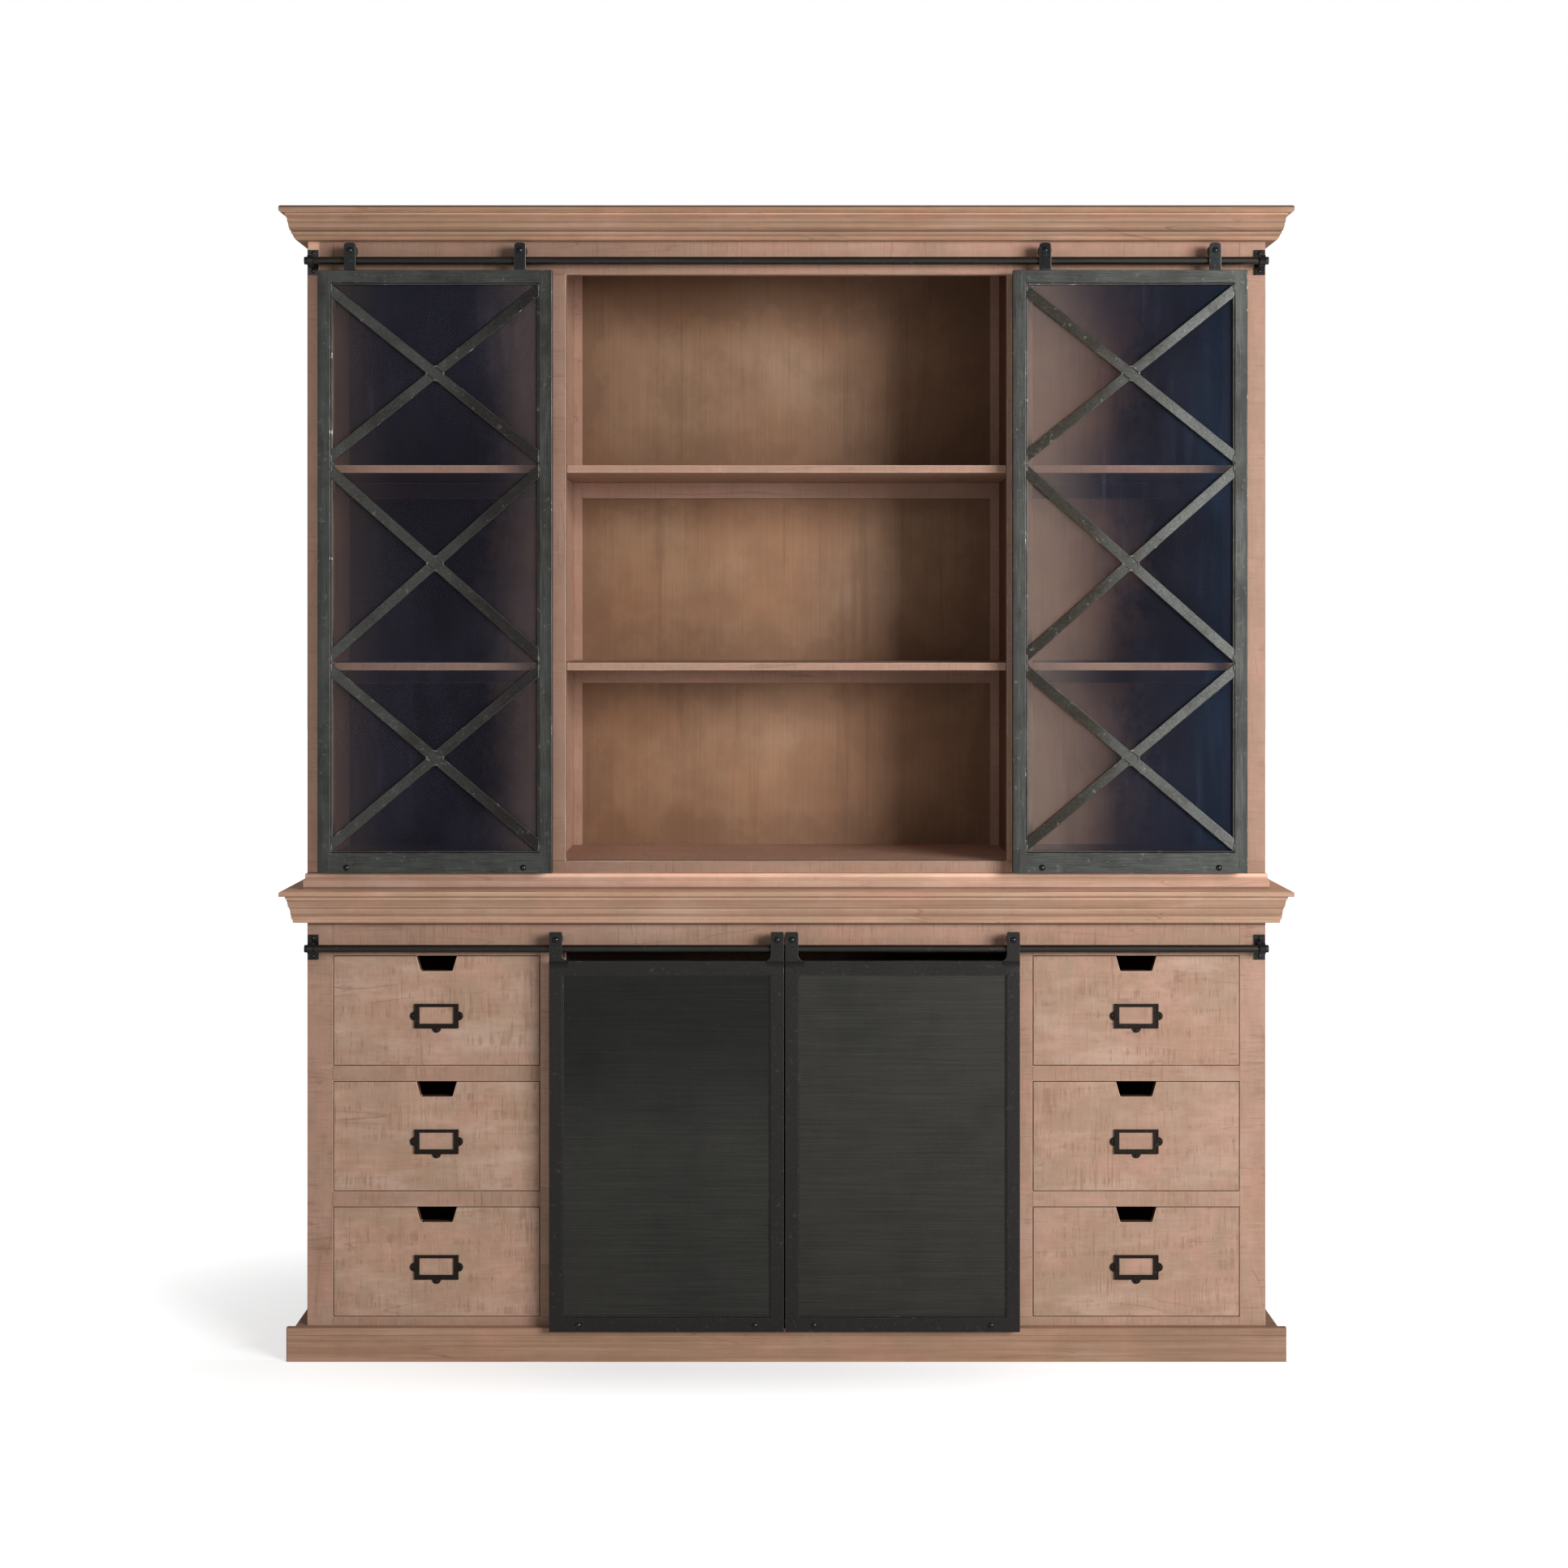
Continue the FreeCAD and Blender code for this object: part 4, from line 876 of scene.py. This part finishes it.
def face_frames():
    inner, outer = SIDE_OPENING
    side_openings = [(-outer, -inner), SIDE_OPENING]
    middle = (-MIDDLE_EDGE, MIDDLE_EDGE)
    holes = [(*opening, *HUTCH_OPENING) for opening in (middle, *side_openings)]
    face_frame("hutch_front_frame", "hutch_face_frame", HUTCH_OPENING, holes,
               [hutch_frame_wood, wood_edge_dark], 0.0022)
    rows = []
    for k in range(len(ROWS)):
        low = BASE_OPENING[0] + k * (DRAWER_OPENING + DRAWER_RAIL)
        rows.append((low, low + DRAWER_OPENING))
    holes = [(*middle, *BASE_OPENING)]
    holes += [(*opening, *row) for opening in side_openings for row in rows]
    levels = [BASE_OPENING[1]] + [z for row in rows for z in row]
    face_frame("base_front_frame", "base_face_frame", levels, holes, [base_frame_wood, wood_edge], 0.0010)


def door_bars(mesh, node, bottom_rail, top, bead, cuts=()):
    """Adds the four bars of a door and the narrow glazing bead inside them, and returns the opening
    between the bars. bead is its width and how far its front and back lie behind the door's face;
    cuts are further places along x where the bars' faces are divided."""
    low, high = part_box(node)
    x0, x1 = low[0] + DOOR_STILE, high[0] - DOOR_STILE
    z0, z1 = low[2] + bottom_rail, top - DOOR_TOP_RAIL
    xs = sorted([low[0], x0, *cuts, x1, high[0]])
    grid_frame(mesh, xs, [low[2], z0, z1, top], [(x0, x1, z0, z1)], low[1], high[1])
    width, front, back = bead
    inner = (x0 + width, x1 - width, z0 + width, z1 - width)
    grid_frame(mesh, [x0, inner[0], inner[1], x1], [z0, inner[2], inner[3], z1], [inner],
               low[1] + front, low[1] + back)
    return x0, x1, z0, z1


def hanger_outline(x, top, gusset_side):
    """A steel door's hanger: a strap with rounded top corners, and at its foot a gusset that curves
    out onto the door's top edge, on one side."""
    left, right = x - DOOR_STILE / 2, x + DOOR_STILE / 2
    foot = STEEL_DOOR_TOP
    middle_z = foot + GUSSET_RADIUS
    points = [(left, foot - HANGER_OVERLAP), (right, foot - HANGER_OVERLAP)]
    if gusset_side > 0:
        points += reversed(quarter(right + GUSSET_RADIUS, middle_z, GUSSET_RADIUS, math.pi))
    points += quarter(right - HANGER_CORNER, top - HANGER_CORNER, HANGER_CORNER, 0.0)
    points += quarter(left + HANGER_CORNER, top - HANGER_CORNER, HANGER_CORNER, math.pi / 2)
    if gusset_side < 0:
        points += reversed(quarter(left - GUSSET_RADIUS, middle_z, GUSSET_RADIUS, -math.pi / 2))
    return points


def steel_door_frame(name):
    node = name + "_frame"
    low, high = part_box(node)
    face = low[1]
    hanger_thickness = 0.005
    sunk = 0.00003  # so that the hangers and the bars don't share a plane
    near, slack = 0.00001, 0.0005
    left_end = low[0] + DOOR_STILE + GUSSET_RADIUS
    right_end = high[0] - DOOR_STILE - GUSSET_RADIUS
    mesh = bmesh.new()
    door_bars(mesh, node, STEEL_DOOR_BOTTOM_RAIL, STEEL_DOOR_TOP, (0.0032, 0.0020, 0.0042),
              cuts=(left_end, right_end))
    for x, gusset_side in ((low[0] + DOOR_STILE / 2, 1), (high[0] - DOOR_STILE / 2, -1)):
        outline = hanger_outline(x, high[2], gusset_side)
        plate(mesh, outline, face + sunk, face + hanger_thickness)

    def under_hanger(edge):
        ends = [vert.co for vert in edge.verts]
        on_top_edge = all(abs(end.z - STEEL_DOOR_TOP) < near and end.y < face + near for end in ends)
        on_left = max(end.x for end in ends) < left_end + slack
        on_right = min(end.x for end in ends) > right_end - slack
        return on_top_edge and (on_left or on_right)

    finish_piece(name + "_bars", mesh, node, name,
                 [black_frame, black_edge, weld_steel], 0.0016, under_hanger)


def weld_cross(mesh, opening, z_low, z_high, depth, rng):
    """Beads of weld where the braces of one cross meet, and where their ends meet the frame."""
    x0, x1 = opening[:2]
    middle_x, middle_z = (x0 + x1) / 2, (z_low + z_high) / 2
    half = (x1 - x0) / 2
    reach = BRACE_WIDTH / 2
    side_length, top_length, end_length = 0.010, 0.013, 0.018
    radius, end_radius = 0.0024, 0.0023
    end_drop, sink = 0.010, 0.0014
    diagonal = math.hypot(2 * half, z_high - z_low)
    slope = math.atan2(z_high - z_low, 2 * half) - math.asin(BRACE_WIDTH / diagonal)
    for direction in (-1, 1):
        weld_bead(mesh, middle_x + direction * reach / math.sin(slope), depth, middle_z,
                  side_length, radius, math.pi / 2 + rng.uniform(-0.2, 0.2), rng)
        weld_bead(mesh, middle_x, depth, middle_z + direction * reach / math.cos(slope),
                  top_length, radius, rng.uniform(-0.2, 0.2), rng)
        for end in (-1, 1):
            end_z = z_high - end_drop if direction > 0 else z_low + end_drop
            weld_bead(mesh, middle_x + end * (half - sink), depth - 0.0004, end_z,
                      end_length, end_radius, math.pi / 2 + rng.uniform(-0.1, 0.1), rng)


def glass_door_frame(name, rng):
    side = name.split("_")[0]
    node = name + "_frame"
    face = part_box(node)[0][1]
    mesh = bmesh.new()
    opening = door_bars(mesh, node, GLASS_DOOR_BOTTOM_RAIL, GLASS_DOOR_TOP, (0.0038, 0.0026, 0.0072))
    for outline, y0, y1 in loose_plates(node, THIN_PART):
        hanger = max(z for _, z in outline) > GLASS_DOOR_TOP + 0.01
        plate(mesh, hull(outline), y0, y1, HANGER_SLOT if hanger else BRACE_SLOT)
    levels = [opening[2], *BAY_FLOORS[1:], opening[3]]
    for z_low, z_high in zip(levels, levels[1:]):
        weld_cross(mesh, opening, z_low, z_high, face + 0.0018, rng)
    finish_piece(name + "_bars", mesh, node, name,
                 [gunmetal[side], gunmetal_edge, weld_steel, hanger_steel, brace_steel[side]], 0.0013)


# ---------------------------------------------------------------- stage, light, camera


def make_floor():
    """White paper. What the camera sees of it glows a little, more with distance, so that it ends white
    while the soft shadow near the object still shows. Before the plinth the glow is lowered into a
    painted shadow."""
    size = 30.0
    mesh = bpy.data.meshes.new("floor")
    corners = [(-size, -size, 0.0), (size, -size, 0.0), (size, size, 0.0), (-size, size, 0.0)]
    mesh.from_pydata(corners, [], [(0, 1, 2, 3)])
    floor = bpy.data.objects.new("floor", mesh)
    scene.collection.objects.link(floor)
    s = Shader("floor_paper")
    fibre = s.noise(s.vector(s.mul(s.x, 900.0), s.mul(s.y, 900.0), s.z), 2.0)
    paper = s.mix(fibre, (0.80, 0.80, 0.80), (0.82, 0.82, 0.82))
    matt = s.node("ShaderNodeBsdfDiffuse", Color=paper)
    foot_low, foot_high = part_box("plinth")
    off_x = s.larger(s.outside(s.x, foot_low[0], foot_high[0]), 0.0)
    off_y = s.larger(s.outside(s.y, foot_low[1], foot_high[1]), 0.0)
    distance = s.math("SQRT", s.add(s.mul(off_x, off_x), s.mul(off_y, off_y)))
    ahead = s.sub(foot_low[1], s.y)
    # A painted shadow before the plinth, strongest near its middle, taken off the glow.
    shadow_reach, shadow_middle = 0.34, -0.15
    shadow = s.mul(s.spread(ahead, 0.0, shadow_reach, 1.0, 0.0), s.above(ahead, -0.01))
    shadow = s.mul(shadow, s.spread(s.away(s.x, shadow_middle), 0.1, 1.15, 0.22, 0.02))
    glow_reach, glow_near, glow_far = 0.95, 0.62, 1.0
    glow_level = s.sub(s.spread(distance, 0.0, glow_reach, glow_near, glow_far), shadow)
    glow = s.node("ShaderNodeEmission", Color=(1.0, 1.0, 1.0), Strength=glow_level)
    path = s.node("ShaderNodeLightPath")
    both = s.node("ShaderNodeAddShader")
    seen = s.node("ShaderNodeMixShader")
    out = s.node("ShaderNodeOutputMaterial")
    s.tree.links.new(matt.outputs[0], both.inputs[0])
    s.tree.links.new(glow.outputs[0], both.inputs[1])
    s.tree.links.new(path.outputs["Is Camera Ray"], seen.inputs[0])
    s.tree.links.new(matt.outputs[0], seen.inputs[1])
    s.tree.links.new(both.outputs[0], seen.inputs[2])
    s.tree.links.new(seen.outputs[0], out.inputs[0])
    mesh.materials.append(s.material)


def make_world():
    """White where the camera looks, and a dimmer white as light."""
    light_strength = 0.22
    world = bpy.data.worlds.new("studio")
    scene.world = world
    world.use_nodes = True
    tree = world.node_tree
    tree.nodes.clear()
    backgrounds = []
    for strength in (light_strength, 1.0):
        background = tree.nodes.new("ShaderNodeBackground")
        background.inputs["Color"].default_value = (1.0, 1.0, 1.0, 1.0)
        background.inputs["Strength"].default_value = strength
        backgrounds.append(background)
    path = tree.nodes.new("ShaderNodeLightPath")
    mix = tree.nodes.new("ShaderNodeMixShader")
    out = tree.nodes.new("ShaderNodeOutputWorld")
    tree.links.new(path.outputs["Is Camera Ray"], mix.inputs[0])
    tree.links.new(backgrounds[0].outputs[0], mix.inputs[1])
    tree.links.new(backgrounds[1].outputs[0], mix.inputs[2])
    tree.links.new(mix.outputs[0], out.inputs[0])


def area_light(name, place, target, width, height, power):
    data = bpy.data.lights.new(name, "AREA")
    data.shape = "RECTANGLE"
    data.size = width
    data.size_y = height
    data.energy = power
    lamp = bpy.data.objects.new(name, data)
    lamp.location = place
    lamp.rotation_euler = (Vector(target) - Vector(place)).to_track_quat("-Z", "Y").to_euler()
    scene.collection.objects.link(lamp)


def make_camera():
    """A level camera with its lens shifted, so that uprights stay parallel."""
    photo_size = 1932.0  # pixels
    horizon_row = 770.0
    mm_per_pixel = 1.677  # in the plane of the object's front
    eye_x, eye_height = -0.005, 1.532
    sensor = 36.0
    distance = 5.0
    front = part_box("worktop")[0][1]
    frame_width = mm_per_pixel * photo_size / 1000.0
    data = bpy.data.cameras.new("camera")
    data.sensor_width = sensor
    data.sensor_fit = "HORIZONTAL"
    data.lens = sensor * distance / frame_width
    data.shift_y = (horizon_row - photo_size / 2) / photo_size
    data.clip_end = 100.0
    camera = bpy.data.objects.new("camera", data)
    camera.location = (eye_x, front - distance, eye_height)
    camera.rotation_euler = (math.radians(90.0), 0.0, 0.0)
    scene.collection.objects.link(camera)
    scene.camera = camera


# ---------------------------------------------------------------- the whole scene

dress_carcass()
dress_drawers()
dress_hardware()
face_frames()
for name in STEEL_DOORS:
    steel_door_frame(name)
weld_random = random.Random(7)
for name in GLASS_DOORS:
    glass_door_frame(name, weld_random)
make_floor()
make_world()
area_light("key", place=(5.0, -5.6, 2.6), target=(0.0, -0.1, 1.30), width=3.4, height=2.2, power=560.0)
area_light("fill", place=(-2.4, -5.0, 2.0), target=(0.0, 0.0, 1.2), width=3.0, height=3.0, power=22.0)
make_camera()
scene.view_settings.view_transform = "Standard"

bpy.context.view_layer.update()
